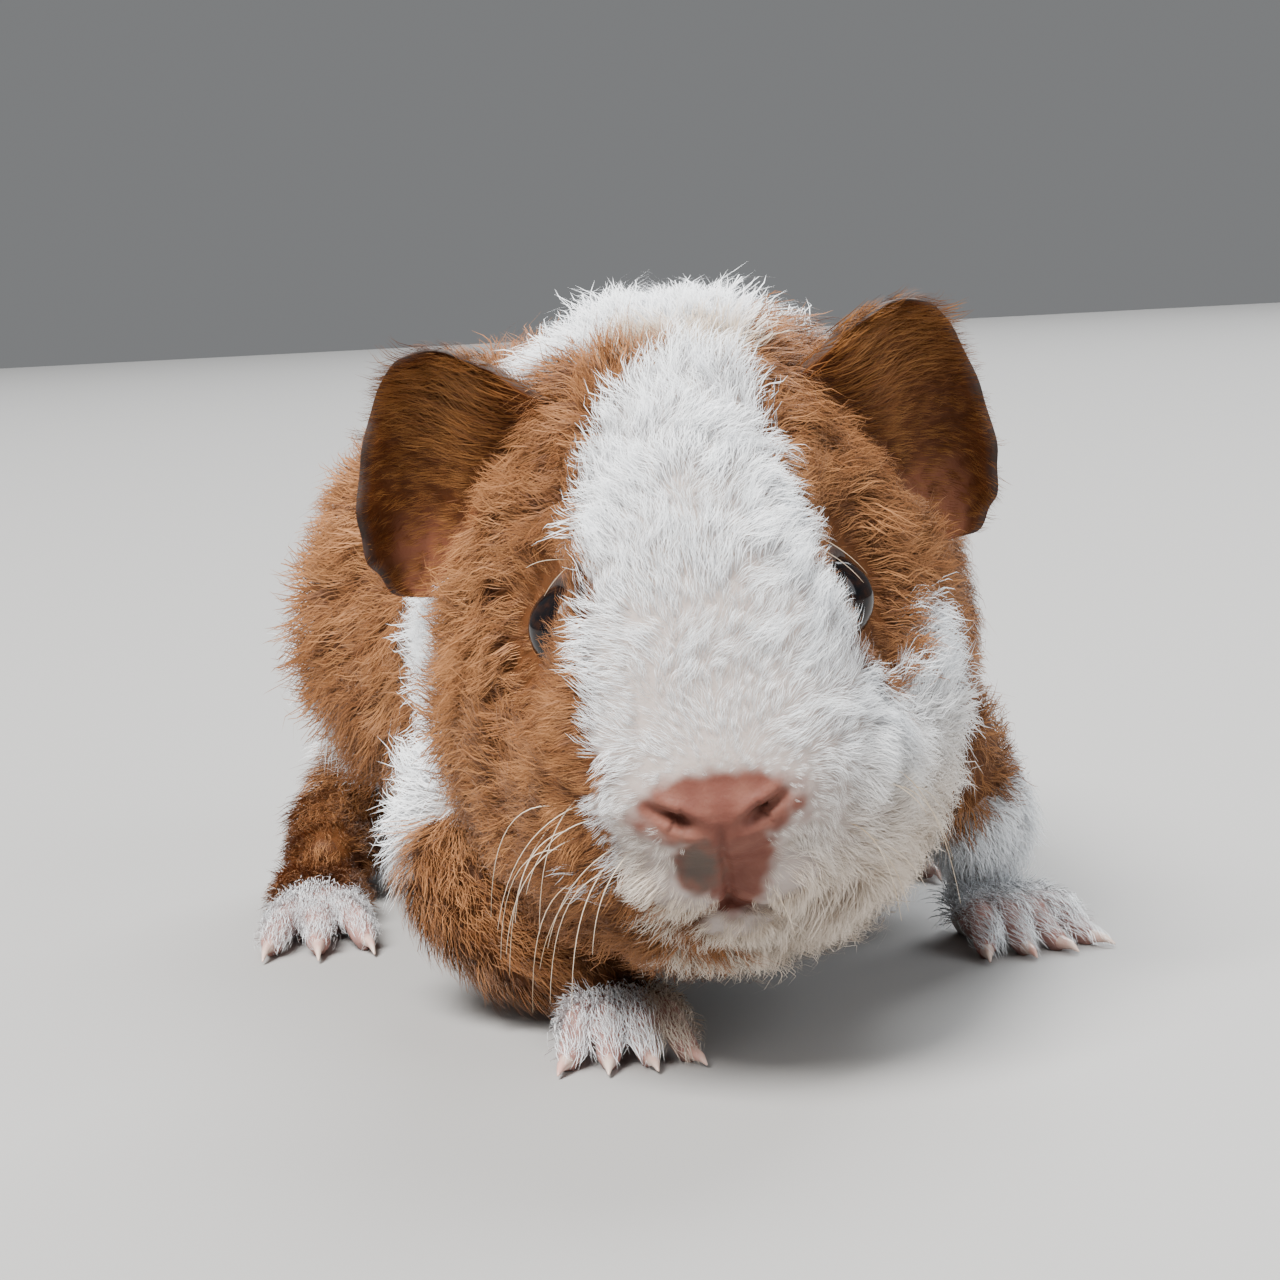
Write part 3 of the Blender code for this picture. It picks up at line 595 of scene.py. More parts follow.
@dataclass(frozen=True)
class Mark:
    """A measured point on the edge of a patch of colour.

    Attributes:
        along: Distance from the tip of the nose.
        across: The height for a side view, the distance to the animal's left for the top view, or degrees
            round the body for a turn.
        view: What it was read from.
    """

    along: float
    across: float
    view: View


def marks(view: View, *places: tuple[float, float]) -> tuple[Mark, ...]:
    """Returns measured points that were all read from one view."""
    return tuple(Mark(along, across, view) for along, across in places)


@dataclass(frozen=True)
class Markings:
    """The white patches of the coat. The rest of it is russet."""

    form: BodyForm
    ragged: float = 1.1
    ragged_waves: Waves = Waves(4.0, 2.0)
    longest_edge: float = 5.0
    nose_radius: float = 6.0
    radius_gain: float = 26.0
    radius_grows: Fade = Fade(0.0, 45.0)
    top_limit: float = 0.999
    side_limit: float = 0.995
    blaze_cheek_collar: tuple[Mark, ...] = (
        *marks(View.TURN, (-9.0, -110.0), (70.0, -110.0)),
        *marks(View.LEFT, (68.0, 8.0), (63.9, 18.0), (57.3, 26.3), (50.6, 28.0), (41.4, 28.5),
               (41.0, 33.0), (38.0, 39.5), (32.5, 41.8), (29.0, 36.0), (25.7, 33.6), (14.9, 34.6),
               (11.6, 39.6), (12.4, 47.9), (16.5, 56.1)),
        *marks(View.TURN, (22.0, 52.0), (26.5, 66.0), (38.0, 68.0)),
        *marks(View.TOP, (43.0, 9.0), (53.0, 11.0), (63.0, 16.0), (62.4, 6.6), (59.8, 0.0),
               (62.4, -5.0), (70.0, -8.9), (75.5, -24.0)),
        *marks(View.RIGHT, (75.5, 59.0), (75.0, 49.0), (73.0, 31.6), (70.7, 17.4), (63.6, 12.5),
               (44.3, 11.0), (47.3, 21.0), (47.4, 29.3), (46.2, 38.7), (47.5, 50.0), (48.0, 60.0)),
        *marks(View.TURN, (46.0, 132.0), (40.0, 121.0), (33.0, 108.0), (25.5, 92.0), (25.0, 104.0),
               (25.0, 116.0), (23.5, 130.0), (20.0, 139.0), (14.4, 143.0), (9.3, 145.0), (7.6, 151.0),
               (4.8, 163.0), (3.7, 172.0), (2.7, 179.0), (-9.0, 181.0)),
    )
    muzzle_and_throat: tuple[Mark, ...] = (
        *marks(View.TURN, (-9.0, 165.0), (2.7, 174.0), (4.0, 204.0), (5.6, 220.0), (6.0, 231.0),
               (6.6, 240.0), (8.5, 249.0), (12.0, 256.0), (17.2, 262.0), (30.0, 265.0), (45.0, 258.0),
               (72.0, 248.0), (72.0, 290.0), (-9.0, 290.0)),
    )
    rump_band: tuple[Mark, ...] = (
        *marks(View.RIGHT, (134.7, 54.2), (129.4, 42.3), (122.9, 31.6), (118.0, 21.0), (112.8, 11.5),
               (113.4, 5.5), (119.0, 5.5), (124.0, 10.3), (134.7, 13.9), (143.0, 21.0), (150.0, 31.6),
               (154.9, 43.5), (152.0, 52.0)),
        *marks(View.TOP, (146.0, -20.0)),
    )

    def plane_points(self, outline: tuple[Mark, ...]) -> Points:
        """Returns marks as points of a flat plan: along, and distance round the body in millimetres."""
        rows = []
        places = [(m.along, self.turn_of(m)) for m in outline]
        for a, b in zip(places, places[1:] + places[:1]):
            pieces = 1 + int(abs(b[0] - a[0]) / self.longest_edge)
            for k in range(pieces):
                t = k / pieces
                along = a[0] + (b[0] - a[0]) * t
                rows.append((along, (a[1] + (b[1] - a[1]) * t) * self.round_scale(along)))
        return np.array(rows)

    def round_scale(self, along: Number) -> Number:
        """Returns how many millimetres of coat a radian spans, by the distance from the nose."""
        return self.nose_radius + self.radius_gain * self.radius_grows.at(np.asarray(along))

    def turn_of(self, mark: Mark) -> float:
        """Returns the angle round the body of a measured mark, from -90 to 270 degrees, in radians."""
        if mark.view is View.TURN:
            return math.radians(mark.across)
        size = self.form.girth(np.array([mark.along]))
        top, bottom, half = float(size.top[0]), float(size.bottom[0]), float(size.half_width[0])
        if mark.view is View.TOP:
            return math.acos(self.rounded(mark.across / (half * (1.0 - float(size.egg[0]))), self.top_limit))
        middle, tall = (top + bottom) / 2.0, (top - bottom) / 2.0
        rise = math.asin(self.rounded((mark.across - middle) / tall, self.side_limit))
        return rise if mark.view is View.LEFT else math.pi - rise

    def rounded(self, share: float, limit: float) -> float:
        """Returns the sine or cosine of the turn at a share of the body's half size, kept within a limit."""
        inside = min(max(share, -limit), limit)
        return math.copysign(abs(inside) ** (self.form.roundness / 2.0), inside)

    def depth_inside(self, plan: Points, outline: Points) -> Points:
        """Returns how far points of the plan lie inside a closed outline, negative outside it."""
        inside = np.zeros(len(plan), dtype=bool)
        nearest = np.full(len(plan), 1e9)
        for a, b in zip(outline, np.roll(outline, -1, axis=0)):
            edge = b - a
            t = np.clip(((plan - a) @ edge) / max(float(edge @ edge), 1e-9), 0.0, 1.0)
            nearest = np.minimum(nearest, np.linalg.norm(plan - (a + t[:, None] * edge), axis=1))
            if a[1] != b[1]:
                crosses = (plan[:, 1] > a[1]) != (plan[:, 1] > b[1])
                at = a[0] + (plan[:, 1] - a[1]) * edge[0] / edge[1]
                inside ^= crosses & (plan[:, 0] < at)
        return np.where(inside, nearest, -nearest)

    def whiteness(self, straight: Points) -> Points:
        """Returns the depth inside the white coat, in millimetres, with ragged edges.

        Args:
            straight: Points of the straight body.

        Returns:
            A number for each point, above 0 where the coat is white.
        """
        turn = self.form.turn_at(straight)
        turn = np.where(turn < -math.pi / 2.0, turn + 2.0 * math.pi, turn)
        plan = np.stack([straight[:, 1], turn * self.round_scale(straight[:, 1])], axis=-1)
        depths = [self.depth_inside(plan, self.plane_points(outline))
                  for outline in (self.blaze_cheek_collar, self.muzzle_and_throat, self.rump_band)]
        return np.max(depths, axis=0) + self.ragged * self.ragged_waves.at(straight)


class Muzzle:
    """The fine forms of nose and mouth, and how far they and their fine faces reach on the straight head."""

    half_width, along, forms_along, low, high = 8.6, 12.5, 14.5, 16.2, 32.6
    nostril_aside, nostril_height, nostril_slant, nostrils_end = 4.1, 28.0, math.radians(30.0), 7.0
    nostril_half, nostril_inner, nostril_outer, nostril_depth = 1.7, 0.75, 0.5, 2.0
    wing_half, wing_above, wing_width, wing_rise = 2.2, 1.1, 0.7, 0.45
    groove_half, groove_depth = 0.45, 0.45
    groove_below, groove_above = Fade(27.5, -2.0), Fade(17.6, 1.5)
    mouth_half, mouth_height, mouth_droop, mouth_bow = 6.8, 18.7, 1.3, 0.9
    mouth_width, mouth_depth, mouth_from, mouth_corner = 0.42, 0.8, 4.0, Fade(5.4, 1.6)
    lip_above, lip_width, lip_rise, lip_corner = 1.3, 0.8, 0.2, Fade(5.0, 2.0)

    def contains(self, straight: Points) -> Points:
        """Tells which points of the straight head need fine faces."""
        x, s, z = straight.T
        return (np.abs(x) < self.half_width) & (s < self.along) & (z > self.low) & (z < self.high)

    def push(self, straight: Points) -> Points:
        """Returns how far the skin goes out, or in below 0, at points of the straight head."""
        x, s, z = straight.T
        front = s < self.forms_along
        push = np.where(s < self.nostrils_end, self.nostrils(x, z), 0.0)
        push += np.where(front, -self.groove_depth * self.groove(x, z), 0.0)
        return push + np.where(front & (s > self.mouth_from), self.mouth(x, z), 0.0)

    def nostrils(self, x: Points, z: Points) -> Points:
        """Returns the push of the slanted nostrils and their wings."""
        out, up = np.abs(x) - self.nostril_aside, z - self.nostril_height
        u = out * math.cos(self.nostril_slant) + up * math.sin(self.nostril_slant)
        v = -out * math.sin(self.nostril_slant) + up * math.cos(self.nostril_slant)
        narrow = np.where(u < 0.0, self.nostril_inner, self.nostril_outer)
        slit = np.exp(-(u / self.nostril_half) ** 2 - (v / narrow) ** 2)
        wing = np.exp(-(u / self.wing_half) ** 2 - ((v - self.wing_above) / self.wing_width) ** 2)
        return -self.nostril_depth * slit + self.wing_rise * wing

    def groove(self, x: Points, z: Points) -> Points:
        """Returns the share of the groove from the nose down to the mouth."""
        return np.exp(-(x / self.groove_half) ** 2) * self.groove_below.at(z) * self.groove_above.at(z)

    def mouth(self, x: Points, z: Points) -> Points:
        """Returns the push of the mouth's line and the lip above it."""
        aside = np.abs(x)
        t = np.clip(aside / self.mouth_half, 0.0, 1.0)
        line = self.mouth_height - t ** self.mouth_droop - self.mouth_bow * np.sin(np.pi * t)
        mouth = np.exp(-((z - line) / self.mouth_width) ** 2) * (1.0 - self.mouth_corner.at(aside))
        lip = np.exp(-((z - line - self.lip_above) / self.lip_width) ** 2) * (1.0 - self.lip_corner.at(aside))
        return -self.mouth_depth * mouth + self.lip_rise * lip


@dataclass(frozen=True)
class Skin:
    """The one skin of the animal: head, trunk, legs and feet, with the fields that the coat grows by."""

    form: BodyForm
    place: Place
    markings: Markings
    voxel = 0.87
    foot_voxel = 0.38
    core_share = 0.5
    lip_share = 0.96
    smoothing = 4
    foot_smoothing = 2
    body_rings = 170
    body_sides = 120
    palm_stations = ((1.0, 0.62, 0.80), (0.55, 0.82, 0.95), (0.0, 1.0, 0.90))
    palm_front = (-0.2, 0.80, 0.50)
    palm_rings = 14
    palm_sides = 24
    floor_bite = 0.7
    sole_height = 0.35
    sole_share = 0.2
    sole_gap = 0.02
    muzzle = Muzzle()

    def build(self) -> Item:
        """Makes the skin with all its fields."""
        item = self.rough_form().build("skin", self.place)
        self.remesh(item, self.voxel, self.smoothing)
        feet = Batch()
        for limb in LIMBS:
            self.add_foot(limb, feet)
        paws = feet.build("paws", self.place)
        self.remesh(paws, self.foot_voxel, self.foot_smoothing)
        self.unite(item, paws)
        self.refine_muzzle(item)
        self.sculpt(item)
        item.data.polygons.foreach_set("use_smooth", [True] * len(item.data.polygons))
        unwrap(item)
        self.grow_fields(item)
        return item

    def rough_form(self) -> Batch:
        """Collects the trunk, lips, chin, nose and legs as overlapping closed shapes."""
        batch = Batch()
        form = self.form
        along = form.length * (0.5 - 0.5 * np.cos(np.pi * np.arange(self.body_rings) / (self.body_rings - 1)))
        turn = 2.0 * np.pi * np.arange(self.body_sides) / self.body_sides
        s, t = np.meshgrid(along, turn, indexing="ij")
        rings = form.posed(form.surface(s.ravel(), t.ravel(), self.core_share)).reshape(
            self.body_rings, self.body_sides, 3)
        batch.loft(rings, rings[0].mean(axis=0), rings[-1].mean(axis=0))
        for side in Side:
            lip = form.pose_one(form.lip[0] * side.value, *form.lip[1:])
            batch.ball(lip, np.array(form.lip_half) * self.lip_share, 16, 32)
        batch.ball(form.pose_one(*form.chin), np.array(form.chin_half), 16, 32)
        batch.ball(form.pose_one(*form.nose), np.array(form.nose_half), 16, 40)
        for limb in LIMBS:
            path, radii = limb.middle_line(40)
            batch.tube(path, radii * (1.0 - limb.coat), 28)
        return batch

    def add_foot(self, limb: Limb, batch: Batch) -> None:
        """Adds a palm or sole and its toes."""
        stand = limb.stand()
        rows = [(limb.back * b, w, h) for b, w, h in self.palm_stations] + [self.palm_front]
        table = np.array(rows)[::-1]
        backs = np.linspace(table[0, 0], table[-1, 0], self.palm_rings)
        wide = np.interp(backs, table[:, 0], table[:, 1]) * limb.width
        high = np.interp(backs, table[:, 0], table[:, 2]) * limb.height / 2.0
        angle = 2.0 * np.pi * np.arange(self.palm_sides) / self.palm_sides
        rings = np.stack([wide[:, None] * np.cos(angle), np.repeat(backs[:, None], self.palm_sides, axis=1),
                          high[:, None] * (1.0 + np.sin(angle)) - self.floor_bite], axis=-1)
        rings = rings @ stand[:3, :3].T + stand[:3, 3]
        batch.loft(rings, rings[0].mean(axis=0), rings[-1].mean(axis=0))
        for path, radii in toe_lines(limb):
            batch.tube(path, radii, 16)

    @staticmethod
    def remesh(item: Item, voxel: float, smoothing: int) -> None:
        """Melts overlapping shapes into one even surface and smooths it."""
        melt = item.modifiers.new("melt", "REMESH")
        melt.mode = "VOXEL"
        melt.voxel_size = voxel * MM
        melt.adaptivity = 0.0
        even = item.modifiers.new("even", "SMOOTH")
        even.factor = 0.5
        even.iterations = smoothing
        apply_modifiers(item)

    @staticmethod
    def unite(item: Item, other: Item) -> None:
        """Joins another closed surface to a piece, so that both are one skin."""
        union = item.modifiers.new("union", "BOOLEAN")
        union.operation = "UNION"
        union.solver = "MANIFOLD"
        union.object = other
        apply_modifiers(item)
        bpy.data.objects.remove(other)

    def refine_muzzle(self, item: Item) -> None:
        """Divides the faces of the nose, lips and mouth twice, so that they can carry fine forms."""
        for _ in range(2):
            shape = bmesh.new()
            shape.from_mesh(item.data)
            centres = np.array([face.calc_center_median() for face in shape.faces])
            fine = self.muzzle.contains(self.form.straightened(self.place.from_frame(centres)))
            shape.faces.ensure_lookup_table()
            edges = {edge for i in np.flatnonzero(fine) for edge in shape.faces[i].edges}
            bmesh.ops.subdivide_edges(shape, edges=list(edges), cuts=1, use_grid_fill=True)
            bmesh.ops.triangulate(shape, faces=[f for f in shape.faces if len(f.verts) > 4])
            shape.to_mesh(item.data)
            shape.free()

    def sculpt(self, item: Item) -> None:
        """Forms nostrils, groove and mouth, and presses the soles flat just above the floor."""
        mesh = item.data
        points = self.place.from_frame(coordinates(mesh))
        push = self.muzzle.push(self.form.straightened(points))
        points += vertex_normals(mesh) * push[:, None]
        z = points[:, 2]
        points[:, 2] = np.where(z < self.sole_height, np.maximum(z * self.sole_share, self.sole_gap), z)
        mesh.vertices.foreach_set("co", self.place.to_frame(points).ravel())
        mesh.update()

    def grow_fields(self, item: Item) -> None:
        """Works out, for every point of the skin, how the coat grows there."""
        mesh = item.data
        field = CoatField(self, self.place.from_frame(coordinates(mesh)), vertex_normals(mesh))
        field.write(mesh)


TOE_START = 2.6
TOE_SHARES = np.array([0.86, 0.72, 0.64, 0.44])


def toe_lines(limb: Limb) -> list[tuple[Points, Points]]:
    """Returns the middle line and radii of each toe of a foot, from its root to the root of the claw."""
    lines = []
    stand = limb.stand()
    for k in range(limb.toes):
        across = 2.0 * k / (limb.toes - 1) - 1.0
        reach = limb.toe_length * (1.0 - 0.16 * across * across)
        root = np.array([across * limb.width * 0.62, 0.4, limb.height * (0.40 if limb.hind else 0.54)])
        tip = np.array([across * limb.spread, -TOE_START - reach, limb.toe_radius * 0.68])
        arch = np.array([0.0, 0.0, limb.toe_radius * (0.30 if limb.hind else 0.75)])
        end = tip + unit(tip - root) * limb.toe_radius * 0.7
        path, asked, stops = curve_through([root, (root + tip) / 2.0 + arch, tip, end], 13)
        radii = np.interp(asked, stops, TOE_SHARES) * limb.toe_radius
        lines.append((path @ stand[:3, :3].T + stand[:3, 3], radii))
    return lines


class CoatField:
    """How the coat grows at points of the skin: its lie, lift, length, cover, curl and colour."""

    reach_places = (0.0, 3.0, 8.0, 15.0, 22.0, 34.0, 46.0, 60.0, 80.0, 165.0)
    reach_values = (1.9, 2.7, 3.7, 4.6, 5.2, 6.2, 7.0, 7.6, 8.2, 8.6)
    reach_waves = Waves(4.5, 11.0)
    flat_places = (0.0, 12.0, 30.0, 55.0)
    flat_values = (34.0, 28.0, 28.0, 26.0)
    flat_waves = Waves(3.2, 14.0)
    parts_from = (0.0, -4.0, 30.0)
    falls = Fade(18.0, 40.0)
    temple_end = 60.0
    temple_aside, temple_behind, temple_above = Fade(6.0, 6.0), Fade(19.0, 8.0), Fade(47.0, 7.0)
    wavier = Fade(4.0, 12.0)
    woolly_from, woolly_to, woolly_below = Fade(14.0, 10.0), Fade(62.0, 14.0), Fade(34.0, -14.0)
    # Throat mixing to a darker creamy colour, stronger lower down: partly creamy hair, partly painted shade
    # under the chin.
    cream_and_shade_from = -9.0
    cream_below, cream_to = Fade(35.0, -16.0), Fade(48.0, 12.0)
    crown_along, crown_slope, crown_half = 29.5, 0.4, 2.3
    crown_above, crown_waves = Fade(58.0, 6.0), Waves(3.0, 31.0)
    neck_from, neck_to, neck_below = Fade(40.0, 12.0), Fade(92.0, 14.0), Fade(56.0, 12.0)
    sway = math.radians(48.0)
    sway_from = Fade(-5.0, 11.0)
    broad_sway, fine_sway = Waves(9.0, 5.0), Waves(3.0, 8.0)
    whorl_from, whorl_to = Fade(9.0, 6.0), Fade(30.0, 8.0)
    lock_size = 3.7
    lock_pull = 0.85
    lock_from = Fade(-3.0, 8.0)
    far = 9.0
    pad, pad_end = Oval(0.0, 0.1, 6.7, 3.0), 6.5
    groove, groove_end = Oval(0.7, 23.2, 2.5, 4.8), 11.0
    spot, spot_end = Oval(-2.4, 23.1, 1.9, 2.5), 9.0
    mouth_height, mouth_width, mouth_half, mouth_end = 18.4, 0.5, 2.0, 15.0
    bare_waves, smudge_waves = Waves(1.3, 19.0), Waves(0.9, 17.0)
    eye_parts, eye_flat = Fade(5.0, 6.5), Fade(5.0, 6.0)
    eye_cover, eye_reach = Fade(4.6, 0.4), Fade(4.9, 6.0)
    ear_waves = Waves(2.6, 23.0)
    ear_reach, ear_cover, ear_dark = Fade(1.5, 6.5), Fade(1.2, 3.0), Fade(2.5, 2.5)
    leg_inside, leg_from = Fade(0.86, 0.25), Fade(0.12, 0.2)
    leg_reach_places, leg_reach_values = (0.0, 0.5, 1.0), (6.5, 5.0, 3.0)
    leg_style = 0.8
    foot_waves = Waves(2.2, 29.0)
    sure_depth = 5.0

    def __init__(self, skin: Skin, posed: Points, normals: Points) -> None:
        """Works out the fields from posed points in millimetres and the skin's normals there."""
        self.form = skin.form
        self.posed = posed
        self.normals = normals
        self.straight = self.form.straightened(posed)
        self.count = len(posed)
        self.whiteness = skin.markings.whiteness(self.straight)
        self.lie = self.body_lie()
        self.reach = np.interp(self.straight[:, 1], self.reach_places, self.reach_values)
        self.cover = np.ones(self.count)
        self.style = self.body_style()
        self.flat = np.interp(self.straight[:, 1], self.flat_places, self.flat_values)
        self.cream = self.body_cream_and_shade()
        self.bare, self.grey, self.paw, self.ear = np.zeros((4, self.count))
        self.left_neck()
        self.swayed()
        self.gather_locks()
        self.muzzle()
        for side in Side:
            self.round_eye(side)
            self.round_ear(side)
        for limb in LIMBS:
            self.limb(limb)

    def along_skin(self, vectors: Points) -> Points:
        """Returns what lies along the skin of vectors."""
        return vectors - self.normals * np.sum(vectors * self.normals, axis=1, keepdims=True)

    def tangent(self, vectors: Points) -> Points:
        """Returns vectors laid along the skin, of length 1."""
        return unit(self.along_skin(vectors))

    def body_lie(self) -> Points:
        """Returns the lie on head and trunk: away from the nose, then back and down, and down at temples."""
        x, s, z = self.straight.T
        away = unit(self.straight - np.array(self.parts_from))
        temple = self.temple_aside.at(np.abs(x)) * self.temple_behind.at(s) * self.temple_above.at(z)
        fall = 0.75 * self.falls.at(s) + 1.5 * temple * (s < self.temple_end)
        return self.tangent(away + np.array([0.0, 0.0, -1.0]) * fall[:, None])

    def body_style(self) -> Points:
        """Returns the curl, from 0 for short and straight to 2 for woolly curls on cheeks and throat."""
        _, s, z = self.straight.T
        woolly = self.woolly_from.at(s) * self.woolly_below.at(z) * (1.0 - self.woolly_to.at(s))
        return 0.45 + 0.75 * self.wavier.at(s) + 0.8 * woolly

    def body_cream_and_shade(self) -> Points:
        """Returns how far the white hair turns a darker creamy colour: on the throat, more so lower down,
        which is partly creamy hair and partly painted shade under the chin, and in a band over the crown.
        """
        x, s, z = self.straight.T
        throat = self.cream_below.at(z) * np.where(x > self.cream_and_shade_from, 1.0 - self.cream_to.at(s), 0.0)
        behind = s - self.crown_along - self.crown_slope * np.abs(x) + self.crown_waves.at(self.posed)
        return throat + 1.3 * np.exp(-(behind / self.crown_half) ** 2) * self.crown_above.at(z)

    def left_neck(self) -> None:
        """Shortens and flattens the coat on the left of the neck."""
        x, s, z = self.straight.T
        there = np.where(x > 0.0, self.neck_from.at(s) * (1.0 - self.neck_to.at(s)), 0.0)
        there *= 1.0 - self.neck_below.at(z)
        self.reach *= 1.0 - 0.35 * there
        self.flat += 16.0 * there

    def swayed(self) -> None:
        """Turns the lie a little to and fro, in broad and fine waves, as a kinky coat does."""
        s = self.straight[:, 1]
        waves = self.broad_sway.at(self.posed) + 0.8 * self.fine_sway.at(self.posed)
        whorled = 1.0 + 0.5 * self.whorl_from.at(s) * (1.0 - self.whorl_to.at(s))
        angle = (waves * (self.sway_from.at(s) * whorled * self.sway))[:, None]
        across = np.cross(self.normals, self.lie)
        self.lie = unit(self.lie * np.cos(angle) + across * np.sin(angle))
        self.reach *= 1.0 + 0.24 * self.reach_waves.at(self.posed)
        self.flat = np.maximum(self.flat + 18.0 * self.flat_waves.at(self.posed), 0.0)

    def gather_locks(self) -> None:
        """Draws neighbouring tufts together into small locks, with partings between them."""
        size = self.lock_size
        middles = np.array([noise.voronoi(Vector(p) / size)[1][0] for p in self.posed]) * size
        inwards = self.along_skin(middles - self.posed)
        pull = self.lock_pull * self.lock_from.at(self.straight[:, 1]) / np.maximum(self.reach, 2.3)
        self.lie = self.tangent(self.lie + inwards * pull[:, None])
        self.reach *= 1.0 - 0.20 * ease(np.linalg.norm(inwards, axis=1) / (0.65 * size))

    def muzzle(self) -> None:
        """Bares the nose and lips, thins the coat round them and greys a spot beside the groove."""
        x, s, z = self.straight.T
        pad = np.where(s < self.pad_end, self.pad.share(x, z - self.form.nose[2]), self.far)
        spot = self.spot.share(x, z)
        groove = np.minimum(self.groove.share(x, z, 0.25 * np.clip(z - 20.0, 0.0, 5.0)), spot)
        groove = np.where(s < self.groove_end, groove, self.far)
        on_mouth = (s < self.mouth_end) & (np.abs(x) < self.mouth_half)
        mouth = np.where(on_mouth, np.abs(z - self.mouth_height) / self.mouth_width, self.far)
        near = np.minimum(np.minimum(pad, groove), mouth) + 0.12 * self.bare_waves.at(self.posed)
        self.bare = 1.0 - ramp(near, 0.9, 0.55)
        self.cover *= ramp(near, 0.98, 0.34)
        self.reach *= 0.50 + 0.50 * ramp(near, 1.0, 1.5)
        smudge = spot + 0.25 * self.smudge_waves.at(self.posed)
        self.grey = (1.0 - ramp(smudge, 0.30, 1.25)) * (s < self.spot_end)

    def round_eye(self, side: Side) -> None:
        """Parts, thins, shortens and flattens the coat round an eye."""
        eye = np.array([self.form.eye[0] * side.value, *self.form.eye[1:]])
        away = np.linalg.norm(self.straight - eye, axis=1)
        parting = 1.9 * (1.0 - self.eye_parts.at(away))[:, None]
        self.lie = self.tangent(self.lie + unit(self.straight - eye) * parting)
        self.cover *= self.eye_cover.at(away)
        self.reach *= 0.26 + 0.74 * self.eye_reach.at(away)
        self.flat += 22.0 * (1.0 - self.eye_flat.at(away))

    def round_ear(self, side: Side) -> None:
        """Thins and shortens the coat at the root of an ear, on skin as dark as the ear's."""
        gap = self.gap_to_ear(side)
        ragged = gap + 1.6 * self.ear_waves.at(self.posed)
        self.reach *= 0.40 + 0.60 * self.ear_reach.at(ragged)
        self.cover *= 0.30 + 0.70 * self.ear_cover.at(gap)
        self.ear = np.maximum(self.ear, 1.0 - self.ear_dark.at(gap))

    def gap_to_ear(self, side: Side) -> Points:
        """Returns how far the points are from the root of an ear."""
        sign = np.array([side.value, 1.0, 1.0])
        front, back = np.array(EarForm.front) * sign, np.array(EarForm.back) * sign
        edge = back - front
        t = np.clip((self.straight - front) @ edge / float(edge @ edge), 0.0, 1.0)
        return np.linalg.norm(self.straight - front - t[:, None] * edge, axis=1)

    def limb(self, limb: Limb) -> None:
        """Turns the lie along a leg and shortens the coat there, then dresses its foot."""
        path, radii = limb.middle_line(30)
        gaps = np.linalg.norm(self.posed[:, None, :] - path[None, :, :], axis=2) / radii[None, :]
        nearest, gap = np.argmin(gaps, axis=1), gaps.min(axis=1)
        place = nearest / (len(path) - 1.0)
        depth = self.sure_depth if limb.white else -self.sure_depth
        on_leg = (1.0 - self.leg_inside.at(gap)) * self.leg_from.at(place)
        weight = on_leg[:, None]
        ahead = unit(np.gradient(path, axis=0)[nearest])
        self.lie = self.tangent(self.lie * (1.0 - weight) + ahead * weight)
        short = np.interp(place, self.leg_reach_places, self.leg_reach_values)
        self.reach = self.reach * (1.0 - on_leg) + short * on_leg
        self.style = self.style * (1.0 - on_leg) + self.leg_style * on_leg
        self.whiteness = self.whiteness * (1.0 - on_leg) + depth * on_leg
        self.foot(limb, gap > np.where(place > 0.88, 0.7, 0.95), depth)

    def foot(self, limb: Limb, off_leg: Points, depth: float) -> None:
        """Lays short fine hair forward over a foot, white towards the toes and bare beneath.

        Args:
            limb: The foot's limb.
            off_leg: Which points don't belong to the leg above the foot.
            depth: The depth inside the white coat on the leg.
        """
        local = limb.in_foot_axes(self.posed)
        aside, back = np.abs(local[:, 0]), local[:, 1]
        beyond = limb.toe_length + TOE_START + limb.toe_radius * 2.0
        there = (off_leg & (back > -beyond - 1.0) & (back < limb.back + 0.8)
                 & (aside < limb.spread + limb.toe_radius + 0.6) & (self.posed[:, 2] < limb.height + 1.2))
        forward = np.tile(limb.stand()[:3, :3] @ np.array([0.0, -1.0, -0.15]), (self.count, 1))
        self.lie = np.where(there[:, None], self.tangent(forward), self.lie)
        toes = ramp(back, 0.5, -4.0)
        rear = ramp(back + 1.5 * self.foot_waves.at(self.posed), 4.5 if limb.hind else 0.9, 2.6)
        upper = ramp(self.posed[:, 2], 1.0, 1.8) * ramp(self.normals[:, 2], -0.15, 0.5)
        end = 1.0 - 0.85 * ramp(-back - limb.toe_length, 2.0, 2.2)
        changes = {"reach": (3.9 if limb.hind else 4.5) - toes + 1.4 * rear, "style": 0.10 + 0.60 * rear,
                   "flat": 57.0 - 25.0 * rear, "bare": 0.68 * (1.0 - rear), "cover": 1.6 * upper * end,
                   "whiteness": self.sure_depth + (depth - self.sure_depth) * rear, "paw": 1.0}
        for name, value in changes.items():
            setattr(self, name, np.where(there, value, getattr(self, name)))

    def write(self, mesh: Mesh) -> None:
        """Stores the fields on a mesh for the coat's trees and the skin's finish."""
        write_fields(mesh, self.normals, self.lie, self.flat, reach=self.reach * MM, cover=self.cover,
                     style=self.style, white_depth=self.whiteness, bare=self.bare, grey=self.grey,
                     ear=self.ear, rosy=np.maximum(0.6 * self.ear, self.paw), cream=self.cream)


